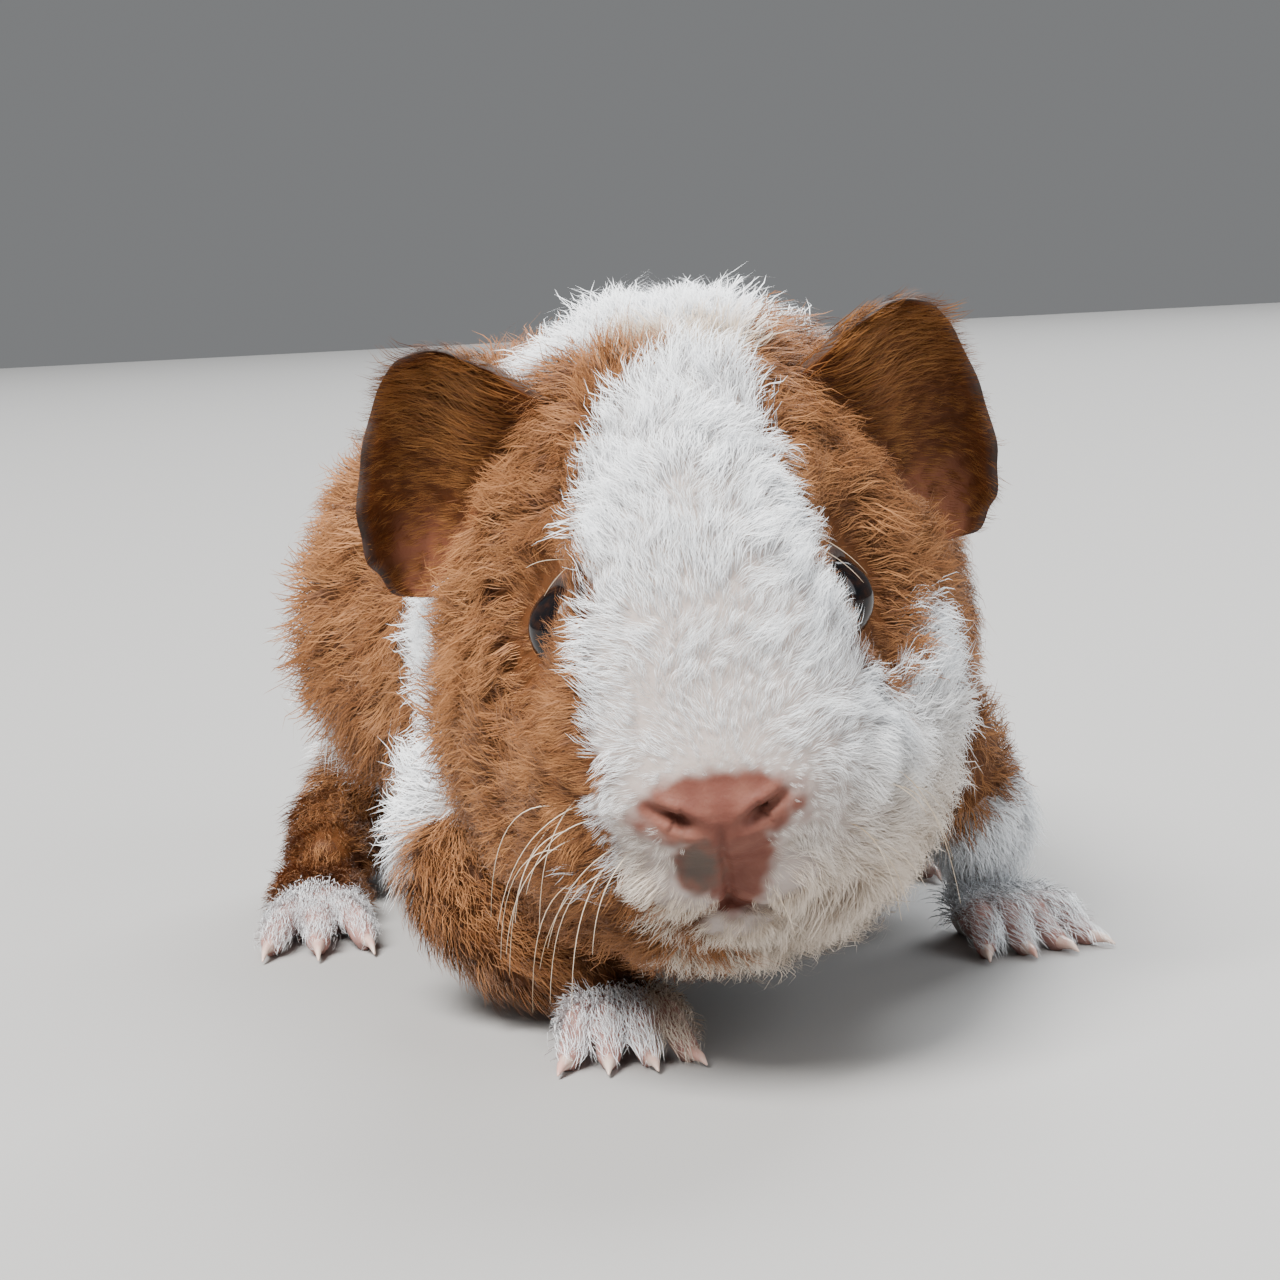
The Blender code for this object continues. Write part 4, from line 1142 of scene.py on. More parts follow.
@dataclass(frozen=True)
class EarForm:
    """The shape of an ear's thin cupped shell, the same as in the solids, with a crinkled rim."""

    front: Triple = (15.6, 34.0, 66.8)
    back: Triple = (25.4, 49.5, 45.4)
    outward: Triple = (0.88, 0.20, 0.15)
    twist: Triple = (0.0, 0.18, -0.50)
    width: float = 12.2
    roundness: float = 0.32
    cup: float = 4.4
    root: float = 6.0
    thick_root: float = 1.5
    thick_rim: float = 0.7
    wave: float = 1.3
    crinkle: float = 0.38
    end: float = 0.985
    steps_long: int = 64
    steps_out: int = 20

    def point(self, u: Points, v: Points, lift: float) -> Points:
        """Returns points of the left ear.

        Args:
            u: Places down its root, from -1 in front to 1 behind.
            v: Places out to its rim, from -1 in the head to 1 at the rim.
            lift: Which face, from -0.5 behind to 0.5 in the cup.

        Returns:
            Points of the straight animal, one row each.
        """
        front, back = np.array(self.front), np.array(self.back)
        length = float(np.linalg.norm(back - front))
        down = (back - front) / length
        outward = unit(np.array(self.outward) + np.array(self.twist) * u[:, None])
        facing = unit(np.cross(down, outward))
        round_off = np.maximum(1.0 - u * u, 0.0)
        reach = self.width * round_off ** self.roundness * (1.0 - 0.18 * u)
        out = np.where(v >= 0.0, reach * v, self.root * v)
        over = np.maximum(v, 0.0)
        hollow = self.cup * np.sqrt(round_off) * np.sin(np.pi * np.minimum(over * 0.72 + 0.10, 1.0))
        wave = self.wave * np.sin(1.5 * np.pi * u) * over ** 2
        wave += self.crinkle * np.sin(19.0 * u + 4.0 * v) * over ** 3
        thick = self.thick_root + (self.thick_rim - self.thick_root) * over
        rounded = np.where(v > 0.93, 0.55, 1.0)
        middle = (front + back) / 2.0 + down * (length / 2.0 * u)[:, None]
        return (middle + outward * out[:, None] - facing * (hollow - wave)[:, None]
                + facing * (lift * thick * rounded)[:, None])


@dataclass(frozen=True)
class Ear:
    """One ear: its skin, with the fields that its thin hair grows by."""

    form: BodyForm
    place: Place
    side: Side
    ear: EarForm
    tip = 0.97
    fringe = Fade(0.05, -0.6)
    crown = Fade(-0.35, -0.3)
    rosy_down, rosy_out = Fade(0.05, 0.6), Fade(0.6, 0.33)
    rim_cover, rim_dark = Fade(0.84, 0.15), Fade(0.91, 0.06)
    lost_depth = -5.0
    style = 0.4

    def build(self) -> Item:
        """Makes the ear's shell with its fields."""
        ear = self.ear
        us = ear.end * np.linspace(-1.0, 1.0, ear.steps_long)
        vs = np.concatenate(([-1.0, -0.5], np.linspace(0.0, 1.0, ear.steps_out)))
        rings, cup, outs = [], [], []
        for u in us:
            row = np.full(len(vs), u)
            inner, outer = ear.point(row, vs, 0.5), ear.point(row, vs, -0.5)[::-1]
            rings.append(np.concatenate([inner, outer]))
            cup.append(np.concatenate([np.ones(len(vs)), np.zeros(len(vs))]))
            outs.append(np.concatenate([vs, vs[::-1]]))
        rings = np.array(rings) * np.array([self.side.value, 1.0, 1.0])
        posed = self.form.posed(rings.reshape(-1, 3)).reshape(rings.shape)
        batch = Batch()
        batch.loft(posed, posed[0].mean(axis=0), posed[-1].mean(axis=0))
        item = batch.build("ear_" + self.side.name.lower() + "_skin", self.place)
        unwrap(item)
        along = np.repeat(us, 2 * len(vs))
        self.grow_fields(item, np.append(along, [-1.0, 1.0]), np.concatenate([*outs, [0.5, 0.5]]),
                         np.concatenate([*cup, [0.0, 0.0]]))
        return item

    def grow_fields(self, item: Item, u: Points, v: Points, in_cup: Points) -> None:
        """Works out how the ear's hair grows: sparse, from the root to the rim."""
        mesh = item.data
        normals = vertex_normals(mesh)
        down = np.clip(u, -self.tip, self.tip)
        rim, root = (self.ear.point(down, np.full(len(u), v_there), 0.0) for v_there in (1.0, 0.0))
        lie = unit((rim - root) * np.array([self.side.value, 1.0, 1.0]))
        lie = unit(lie - normals * np.sum(lie * normals, axis=1, keepdims=True))
        cup = in_cup > 0.5
        over = np.clip(v, 0.0, 1.0)
        fringe = self.fringe.at(u)
        rosy = in_cup * (0.3 + 0.7 * self.rosy_down.at(u) * (1.0 - self.rosy_out.at(over)))
        ends = 1.0 - self.rim_cover.at(over)
        reach = np.where(cup, 2.1 + fringe * (3.2 - 2.0 * over), 2.5 - 0.5 * over)
        inside = (0.85 + 0.15 * fringe - 0.5 * rosy * (rosy > 0.31)) * ends
        cover = np.where(v < 0.0, 0.0, np.where(cup, inside, 0.6 * ends + 0.4 * self.crown.at(u)))
        flat = np.where(cup, 30.0 + 12.0 * fringe, 44.0)
        every = np.ones(len(u))
        write_fields(mesh, normals, lie, flat, reach=reach * MM, cover=cover, style=every * self.style,
                     white_depth=every * self.lost_depth, bare=every, ear=every, rosy=rosy,
                     rim=self.rim_dark.at(over))


@dataclass(frozen=True)
class Eye:
    """An eyeball with a bulging clear front, and the lids that close round it."""

    form: BodyForm
    place: Place
    side: Side
    turned_forward: float = math.radians(20.0)
    turned_up: float = math.radians(6.0)
    open_across: float = math.radians(72.0)
    open_up: float = math.radians(62.0)
    lid_profile: tuple[tuple[float, float], ...] = (
        (-0.35, 2.0), (0.10, 0.0), (0.42, 2.5), (0.62, 8.0), (0.75, 17.0), (0.62, 28.0), (-0.30, 40.0),
        (-0.9, 20.0))
    lid_turns: int = 64
    levels: int = 40
    around: int = 56
    bulge: float = 0.035
    bulge_angle: float = 0.62

    def middle(self) -> Points:
        """Returns the posed middle of the eyeball."""
        return self.form.pose_one(self.form.eye[0] * self.side.value, *self.form.eye[1:])

    def frame(self) -> tuple[Points, Points, Points]:
        """Returns the directions the eye looks in, up and across."""
        level = math.cos(self.turned_up)
        look = np.array([self.side.value * math.cos(self.turned_forward) * level,
                         -math.sin(self.turned_forward) * level, math.sin(self.turned_up)])
        up = unit(np.array([0.0, 0.0, 1.0]) - look * look[2])
        return look, up, np.cross(look, up)

    def ball(self) -> Item:
        """Makes the eyeball."""
        look, up, across = self.frame()
        spin = np.stack([across, up, look], axis=-1)
        down = np.pi * np.arange(1, self.levels) / self.levels
        bulge = 1.0 + self.bulge * np.exp(-(down / self.bulge_angle) ** 2)
        grid = unit_ball(self.levels, self.around) * bulge[:, None, None]
        radius = self.form.eye_radius
        middle = self.middle()
        batch = Batch()
        batch.loft(grid @ spin.T * radius + middle, middle + look * radius * (1.0 + self.bulge),
                   middle - look * radius)
        return batch.build("eyeball_" + self.side.name.lower(), self.place)

    def lids(self) -> Item:
        """Makes the closed ring of both lids, hugging the ball, with a fine wet edge."""
        look, up, across = self.frame()
        count = self.lid_turns
        turns = 2.0 * np.pi * np.arange(count) / count
        middle = self.middle()
        points = []
        for turn in turns:
            out = across * math.cos(turn) + up * math.sin(turn)
            high = abs(math.sin(turn)) ** 1.5
            opening = self.open_across + (self.open_up - self.open_across) * high
            heavy = 1.0 + 0.25 * math.sin(turn)
            for rise, beyond in self.lid_profile:
                angle = opening + math.radians(beyond)
                radius = self.form.eye_radius + rise * heavy
                points.append(middle + radius * (look * math.cos(angle) + out * math.sin(angle)))
        size = len(self.lid_profile)
        faces = [(i * size + k, i * size + (k + 1) % size, (i + 1) % count * size + (k + 1) % size,
                  (i + 1) % count * size + k) for i in range(count) for k in range(size)]
        item = new_object("lids_" + self.side.name.lower(), self.place.to_frame(np.array(points)), faces)
        soft = item.modifiers.new("soft", "SUBSURF")
        soft.levels = 1
        soft.render_levels = 1
        apply_modifiers(item)
        return item


@dataclass(frozen=True)
class Claws:
    """All claws of the four feet."""

    place: Place
    radii = (0.80, 0.78, 0.52, 0.10)
    point_height = 0.42

    def build(self) -> Item:
        """Makes each claw as a curved taper out of the end of its toe."""
        batch = Batch()
        for limb in LIMBS:
            for path, _ in toe_lines(limb):
                end, root = path[-1], path[-5]
                forward = end - root
                forward[2] = 0.0
                forward = unit(forward)
                bend = end + forward * limb.claw * 0.5 + np.array([0.0, 0.0, -0.05])
                point = end + forward * limb.claw
                point[2] = self.point_height
                line, asked, stops = curve_through([root, end, bend, point], 12)
                batch.tube(line, np.interp(asked, stops, self.radii), 12)
        return batch.build("claws", self.place)


@dataclass(frozen=True)
class Whiskers:
    """The whiskers of both cheeks and the few above the eyes."""

    form: BodyForm
    place: Place
    seed: int = 31
    thick: float = 0.065
    thin: float = 0.02
    steps: int = 14
    right_count: int = 14
    left_count: int = 8
    right_longest: float = 17.0
    left_longest: float = 12.5

    def build(self) -> Item:
        """Makes the whiskers as fine curved tapers."""
        batch = Batch()
        draw = random.Random(self.seed)
        for side in Side:
            right = side is Side.RIGHT
            count = self.right_count if right else self.left_count
            longest = self.right_longest if right else self.left_longest
            for k in range(count):
                self.add_one(batch, draw, side, 5.5 + 8.0 * draw.random(), 21.5 + 9.0 * k / count,
                             draw.uniform(7.5, longest), draw.uniform(0.8, 3.0))
            for k in range(2):
                self.add_one(batch, draw, side, 19.0 + 1.5 * k, 50.0 + k, draw.uniform(8.0, 11.0), 0.5)
        return batch.build("whiskers", self.place)

    def add_one(self, batch: Batch, draw: random.Random, side: Side, along: float, height: float,
                length: float, curl: float) -> None:
        """Adds one whisker rooted in the skin at a distance from the nose and a height."""
        turns = np.linspace(-1.45, 1.45, 120)
        wall = self.form.surface(np.full(120, along), turns, 1.0)
        root = wall[np.argmin(np.abs(wall[:, 2] - height))] * np.array([side.value, 1.0, 1.0])
        heading = unit(np.array([side.value * draw.uniform(0.55, 1.0), draw.uniform(-0.6, 0.3),
                                 draw.uniform(-0.5, 0.3)]))
        sag = np.array([-0.10 * side.value, draw.uniform(0.25, 0.7), -1.0]) * curl
        t = np.linspace(0.0, 1.0, self.steps)[:, None]
        path = root - heading * 1.0 + heading * length * t * (1.0 - 0.25 * t) + sag * length * 0.36 * t ** 2.2
        radii = self.thick + (self.thin - self.thick) * t[:, 0]
        batch.tube(self.form.posed(path), radii, 5)


class Value:
    """A number in a node tree. Python's operators on it add Math nodes."""

    def __init__(self, tree: "Tree", socket: Socket) -> None:
        """Wraps an output socket."""
        self.tree = tree
        self.socket = socket

    def join(self, operation: str, first: object, second: object) -> "Value":
        """Adds a Math node on two values."""
        made = self.tree.node("ShaderNodeMath", {"operation": operation}, {0: first, 1: second})
        return Value(self.tree, made.outputs[0])

    def __add__(self, other: object) -> "Value":
        """Adds."""
        return self.join("ADD", self, other)

    def __radd__(self, other: object) -> "Value":
        """Adds, reflected."""
        return self.join("ADD", other, self)

    def __sub__(self, other: object) -> "Value":
        """Subtracts."""
        return self.join("SUBTRACT", self, other)

    def __rsub__(self, other: object) -> "Value":
        """Subtracts from."""
        return self.join("SUBTRACT", other, self)

    def __mul__(self, other: object) -> "Value":
        """Multiplies."""
        return self.join("MULTIPLY", self, other)

    def __rmul__(self, other: object) -> "Value":
        """Multiplies, reflected."""
        return self.join("MULTIPLY", other, self)

    def floor(self) -> "Value":
        """Rounds down."""
        made = self.tree.node("ShaderNodeMath", {"operation": "FLOOR"}, {0: self})
        return Value(self.tree, made.outputs[0])

    def above(self, limit: object) -> "Value":
        """Gives 1 where this is above a limit, else 0."""
        return self.join("GREATER_THAN", self, limit)

    def smooth(self, low: float, high: float) -> "Value":
        """Eases from 0 at the low end to 1 at the high end."""
        made = self.tree.node("ShaderNodeMapRange", {"interpolation_type": "SMOOTHSTEP"},
                              {"Value": self, "From Min": low, "From Max": high})
        return Value(self.tree, made.outputs["Result"])


class Tree:
    """A node tree with one way to add any node."""

    def __init__(self, tree: bpy.types.NodeTree) -> None:
        """Wraps a tree."""
        self.tree = tree

    def node(self, kind: str, settings: dict[str, object] | None = None,
             inputs: dict[str | int, object] | None = None) -> bpy.types.Node:
        """Adds a node.

        Args:
            kind: The node's type.
            settings: Its properties, set first.
            inputs: Values or links of its sockets, by name or number.

        Returns:
            The node.
        """
        made = self.tree.nodes.new(kind)
        for key, value in (settings or {}).items():
            setattr(made, key, value)
        for key, value in (inputs or {}).items():
            self.feed(made, key, value)
        return made

    def feed(self, node: bpy.types.Node, key: str | int, value: object) -> None:
        """Sets or links one input socket of a node."""
        if isinstance(key, int):
            socket = node.inputs[key]
        else:
            socket = next(s for s in node.inputs if s.name == key and s.enabled)
        if isinstance(value, Value):
            self.tree.links.new(value.socket, socket)
        elif isinstance(value, Socket):
            self.tree.links.new(value, socket)
        else:
            socket.default_value = value

    @staticmethod
    def out(node: bpy.types.Node, name: str) -> Socket:
        """Returns the output of that name which is in use."""
        return next(s for s in node.outputs if s.name == name and s.enabled)


class Finish(Tree):
    """A material with one Principled shader, built by its subclasses' paint method."""

    name = "finish"
    sockets: dict[str, object] = {}

    def __init__(self) -> None:
        """Makes the material and paints it."""
        self.material = bpy.data.materials.new(self.name)
        self.material.use_nodes = True
        super().__init__(self.material.node_tree)
        self.shader = self.tree.nodes["Principled BSDF"]
        for key, value in self.sockets.items():
            self.feed(self.shader, key, value)
        self.paint()

    def paint(self) -> None:
        """Sets the shader's sockets."""

    def attribute(self, name: str) -> Value:
        """Reads a number stored on the mesh."""
        made = self.node("ShaderNodeAttribute", {"attribute_name": name})
        return Value(self, made.outputs["Fac"])

    def noise(self, scale: float, detail: float = 3.0) -> Value:
        """Returns noise in the object's own space, with that many waves in a metre."""
        place = self.node("ShaderNodeTexCoord")
        made = self.node("ShaderNodeTexNoise", {}, {"Vector": place.outputs["Object"], "Scale": scale,
                                                     "Detail": detail})
        return Value(self, made.outputs[0])

    def mix(self, share: object, first: object, second: object) -> Socket:
        """Mixes two colours."""
        made = self.node("ShaderNodeMix", {"data_type": "RGBA"}, {"Factor": share, "A": first, "B": second})
        return self.out(made, "Result")

    def bump(self, height: Value, strength: float, distance: float) -> None:
        """Roughens the surface by a height."""
        made = self.node("ShaderNodeBump", {}, {"Height": height, "Strength": strength, "Distance": distance})
        self.tree.links.new(made.outputs["Normal"], self.shader.inputs["Normal"])

    def color(self, value: object) -> None:
        """Sets the base colour."""
        self.feed(self.shader, "Base Color", value)

    def dress(self, item: Item) -> None:
        """Gives a piece this finish only."""
        item.data.materials.clear()
        item.data.materials.append(self.material)


def rgb(red: float, green: float, blue: float) -> Color:
    """Returns an opaque colour from linear values."""
    return (red, green, blue, 1.0)


class CoatFinish(Finish):
    """Hair: russet or white by tuft, darker at its root, with each tuft a little different. On the white the
    grey root is painted shade in the partings between clumps, and the cool tint of the tips is painted cool
    daylight. On the russet the dark root and lighter tip are partly the wool's own tone, partly painted shade
    among the hairs and painted light on their tips.
    """

    name = "woolly_coat"
    sockets = {"Roughness": 0.62, "Specular IOR Level": 0.22, "Sheen Weight": 0.10, "Sheen Roughness": 0.4}
    # Root and tip: partly the wool's own tone, partly painted shade deep among the hairs and painted light on
    # the tips.
    russet_root = rgb(0.090, 0.031, 0.010)
    russet_tip = rgb(0.220, 0.084, 0.026)
    russet_dark = rgb(0.060, 0.020, 0.008)
    russet_gold = rgb(0.340, 0.150, 0.056)
    # Darker creamy colour: partly the hair's own creamy tint, partly painted shade under the chin.
    cream = rgb(0.56, 0.43, 0.30)
    # Grey root of the white hair: painted shade in the partings between clumps.
    shaded_white_root = rgb(0.48, 0.48, 0.49)
    # The white tip's cool blue tint is painted cool daylight.
    white_tip = rgb(0.94, 0.97, 1.0)

    def paint(self) -> None:
        """Mixes the colours by the tuft's own numbers and by broad patches of the body."""
        tip, shade, pale = self.attribute("tip"), self.attribute("shade"), self.attribute("pale")
        patch = self.noise(55.0, 2.0)
        # Russet from root to tip: partly its own tone, partly painted shade at the root and painted light at
        # the tip.
        russet = self.mix(tip.smooth(0.1, 0.9), self.russet_root, self.russet_tip)
        russet = self.mix((shade * 0.9 + patch * 0.9 - 0.62).smooth(0.0, 0.7), russet, self.russet_gold)
        russet = self.mix((shade * tip).smooth(0.55, 1.0) * 0.45, russet, self.russet_dark)
        # White hair from its grey root, which is painted shade, to its tip.
        white = self.mix(tip.smooth(0.0, 0.8), self.shaded_white_root, self.white_tip)
        # Mixes in the darker creamy colour: partly creamy hair, partly painted shade.
        white = self.mix(self.attribute("cream") * 0.75, white, self.cream)
        self.color(self.mix(pale, russet, white))


class EarHairFinish(CoatFinish):
    """The deeper hair inside the ears."""

    name = "ear_hair"
    sockets = {**CoatFinish.sockets, "Sheen Weight": 0.0}
    # As on the coat, the darker root is partly the hair's own tone, partly painted shade among the hairs.
    russet_root = rgb(0.082, 0.024, 0.005)
    russet_tip = rgb(0.175, 0.058, 0.012)
    russet_gold = rgb(0.290, 0.120, 0.032)


class SkinFinish(Finish):
    """Bare and haired skin: pink nose, lips and feet, grey spot, dark ears with a rosy cup; under the white
    coat it is darkened as painted shade in the partings.
    """

    name = "skin"
    sockets = {"Roughness": 0.55, "Specular IOR Level": 0.13, "Subsurface Weight": 0.12,
               "Subsurface Radius": (0.004, 0.0015, 0.001), "Subsurface Scale": 0.25}
    under_russet = rgb(0.10, 0.036, 0.012)
    # Skin under the white coat: partly its own pale tone, darkened as painted shade in the partings between
    # tufts.
    shaded_under_white = rgb(0.40, 0.34, 0.31)
    pink = rgb(0.185, 0.076, 0.055)
    pink_deep = rgb(0.135, 0.048, 0.035)
    paw = rgb(0.36, 0.15, 0.125)
    grey = rgb(0.095, 0.072, 0.060)
    ear_dark = rgb(0.075, 0.050, 0.040)
    ear_brown = rgb(0.072, 0.020, 0.004)
    ear_rose = rgb(0.185, 0.064, 0.033)
    ear_rim = rgb(0.050, 0.038, 0.034)

    def paint(self) -> None:
        """Mixes the colours by the fields stored on the skin."""
        # Skin under the hair; on the white side it is darkened as painted shade.
        under = self.mix(self.attribute("white_depth").smooth(-0.6, 0.6), self.under_russet, self.shaded_under_white)
        blotch = self.noise(330.0, 3.0)
        flesh = self.mix(blotch.smooth(0.35, 0.7), self.pink, self.pink_deep)
        rosy = self.attribute("rosy")
        flesh = self.mix(rosy.smooth(0.7, 1.0), flesh, self.paw)
        flesh = self.mix(self.attribute("grey"), flesh, self.grey)
        skin = self.mix(self.attribute("bare"), under, flesh)
        ear = self.mix(rosy.smooth(0.0, 0.3), self.ear_dark, self.ear_brown)
        ear = self.mix(rosy.smooth(0.4, 1.0), ear, self.ear_rose)
        ear = self.mix(self.attribute("rim"), ear, self.ear_rim)
        self.color(self.mix(self.attribute("ear"), skin, ear))
        pores = self.noise(3200.0, 4.0)
        folds = self.noise(900.0, 2.0)
        self.bump(pores * 0.6 + folds * 0.4, 0.22, 0.0004)


class MottledFinish(Finish):
    """Two colours mixed by noise, on a surface that may have fine wrinkles.

    Attributes:
        mottle: The noise's scale and detail.
        blend: The noise's values at the first and at the second colour.
        first: One colour.
        second: The other colour.
        wrinkles: Scale, detail, strength and distance of the wrinkles.
    """

    mottle = (900.0, 3.0)
    blend = (0.4, 0.7)
    first = second = rgb(0.5, 0.5, 0.5)
    wrinkles: Color | None = None

    def paint(self) -> None:
        """Mixes the colours and wrinkles the surface."""
        self.color(self.mix(self.noise(*self.mottle).smooth(*self.blend), self.first, self.second))
        if self.wrinkles:
            self.bump(self.noise(*self.wrinkles[:2]), *self.wrinkles[2:])


class EyeFinish(MottledFinish):
    """A wet, almost black eye with a dark brown iris just showing round the pupil."""

    name = "wet_dark_eye"
    sockets = {"Roughness": 0.09, "Coat Weight": 0.12, "Coat Roughness": 0.02, "Specular IOR Level": 0.15}
    blend = (0.4, 0.75)
    first, second = rgb(0.004, 0.004, 0.005), rgb(0.020, 0.009, 0.006)


class LidFinish(MottledFinish):
    """The dark, slightly moist skin of the lids."""

    name = "lid_skin"
    sockets = {"Roughness": 0.50}
    mottle, blend = (700.0, 4.0), (0.45, 0.8)
    first, second = rgb(0.030, 0.020, 0.017), rgb(0.105, 0.055, 0.040)
    wrinkles = (2400.0, 4.0, 0.4, 0.0004)


class ClawFinish(MottledFinish):
    """Pale, slightly clear horn, pinker in streaks."""

    name = "claw_horn"
    sockets = {"Roughness": 0.30, "Coat Weight": 0.3}
    mottle, blend = (420.0, 3.0), (0.35, 0.7)
    first, second = rgb(0.66, 0.52, 0.44), rgb(0.56, 0.31, 0.26)
    wrinkles = (1900.0, 2.0, 0.2, 0.0002)


class WhiskerFinish(MottledFinish):
    """Stiff pale whisker hair, varied along its length."""

    name = "whisker_hair"
    sockets = {"Roughness": 0.35}
    mottle = (160.0, 2.0)
    first, second = rgb(0.72, 0.60, 0.46), rgb(0.50, 0.36, 0.22)


class FloorFinish(Finish):
    """The plain pale stage."""

    name = "plain_floor"
    sockets = {"Roughness": 0.7, "Base Color": rgb(0.33, 0.325, 0.32)}


@dataclass(frozen=True)
class TuftStyle:
    """How the hairs of one kind of tuft grow. Lengths are shares of the tuft's own length.

    Attributes:
        name: The style's name.
        hairs: How many hairs a tuft has.
        steps: How many lengths each hair is bent in.
        width: A hair's width at its widest.
        spread: How far apart the roots stand.
        gather: How far the tips draw together.
        root_lean: The angle from upright at the root.
        tip_lean: The angle from upright at the tip.
        wave: How far the hair swings to the side.
        turns: How many waves it has.
    """

    name: str
    hairs: int
    steps: int
    width: float
    spread: float
    gather: float
    root_lean: float
    tip_lean: float
    wave: float
    turns: float


TUFT_STYLES = (
    TuftStyle("short", 8, 2, 0.021, 0.30, 0.10, 10.0, 60.0, 0.05, 0.6),
    TuftStyle("wavy", 7, 4, 0.0165, 0.17, 0.30, 4.0, 66.0, 0.115, 1.0),
    TuftStyle("curly", 6, 6, 0.018, 0.15, 0.30, 2.0, 76.0, 0.165, 1.4),
)


class Tufts:
    """The small tuft meshes that the coat's trees set on the skin."""

    kinds = 5
    patch = 0.003

    def __init__(self, seed: int) -> None:
        """Makes the kinds of each style in a collection of their own, hidden from the render."""
        self.draw = random.Random(seed)
        self.collection = bpy.data.collections.new("tuft_kinds")
        for level, style in enumerate(TUFT_STYLES):
            for kind in range(self.kinds):
                self.make(style, "tuft_%d_%s_%d" % (level, style.name, kind))

    def make(self, style: TuftStyle, name: str) -> None:
        """Makes one tuft, one unit long, rooted at the origin, growing up and leaning along +Y."""
        points, faces, tips, patches = [], [], [], []
        phase = self.draw.uniform(0.0, 2.0 * math.pi)
        for k in range(style.hairs):
            self.add_hair(style, k, phase, points, faces, tips, patches)
        mesh = bpy.data.meshes.new(name)
        mesh.from_pydata(points, [], faces)
        mesh.polygons.foreach_set("use_smooth", [True] * len(mesh.polygons))
        write_attribute(mesh, "tip", np.array(tips))
        write_attribute(mesh, "patch", np.array(patches))
        self.collection.objects.link(bpy.data.objects.new(name, mesh))

    def add_hair(self, style: TuftStyle, k: int, phase: float, points: list[Vector],
                 faces: Faces, tips: list[float],
                 patches: list[Triple]) -> None:
        """Adds one flat tapered hair of a tuft, turned so that its broad side faces out."""
        draw = self.draw
        start = 2.0 * math.pi * (k + draw.random()) / style.hairs
        far = style.spread * math.sqrt(draw.uniform(0.15, 1.0))
        root = Vector((far * math.cos(start), far * math.sin(start), -0.05))
        swing = phase + draw.uniform(-0.8, 0.8)
        long = draw.uniform(0.70, 1.06)
        yaw = draw.uniform(-0.34, 0.34)
        amount = style.wave * draw.uniform(0.5, 1.4)
        place = root.copy()
        first = len(points)
        width = style.width * draw.uniform(0.8, 1.2)
        for step in range(style.steps + 1):
            t = step / style.steps
            lean = math.radians(style.root_lean + (style.tip_lean - style.root_lean) * t ** 0.8)
            wave = math.sin(2.0 * math.pi * style.turns * t + swing) - math.sin(swing)
            side = amount * wave * t
            rise = 0.45 * amount * math.cos(2.0 * math.pi * style.turns * t + swing) * t
            draw_in = 1.0 - style.gather * t
            at = Vector((root.x * draw_in + place.x - root.x + side, root.y * draw_in + place.y - root.y,
                         place.z + rise))
            tips.append(t)
            patches.append((self.patch * (k / style.hairs - 0.5), self.patch * (t - 0.5), 0.0))
            if step == style.steps:
                points.append(at)
                break
            tips.append(t)
            patches.append((self.patch * ((k + 0.8) / style.hairs - 0.5), self.patch * (t - 0.5), 0.0))
            half = width * 0.5 * (1.0 - 0.55 * t ** 1.5) * (0.75 + 0.25 * min(t * 4.0, 1.0))
            across = Vector((math.cos(yaw), math.sin(yaw), 0.22 * math.sin(swing)))
            points += [at - across * half, at + across * half]
            ahead = Vector((math.sin(yaw) * -math.sin(lean), math.cos(yaw) * math.sin(lean), math.cos(lean)))
            place += ahead * (long / style.steps)
        for step in range(style.steps - 1):
            a = first + 2 * step
            faces.append((a, a + 1, a + 3, a + 2))
        a = first + 2 * (style.steps - 1)
        faces.append((a, a + 1, a + 2))


class Salt(Enum):
    """What a tuft's random numbers are for; each is added to the tree's seed."""

    COLOUR = 3
    SHADE = 4
    TWIST = 5
    STYLE = 6
    KIND = 7
    SIZE = 8


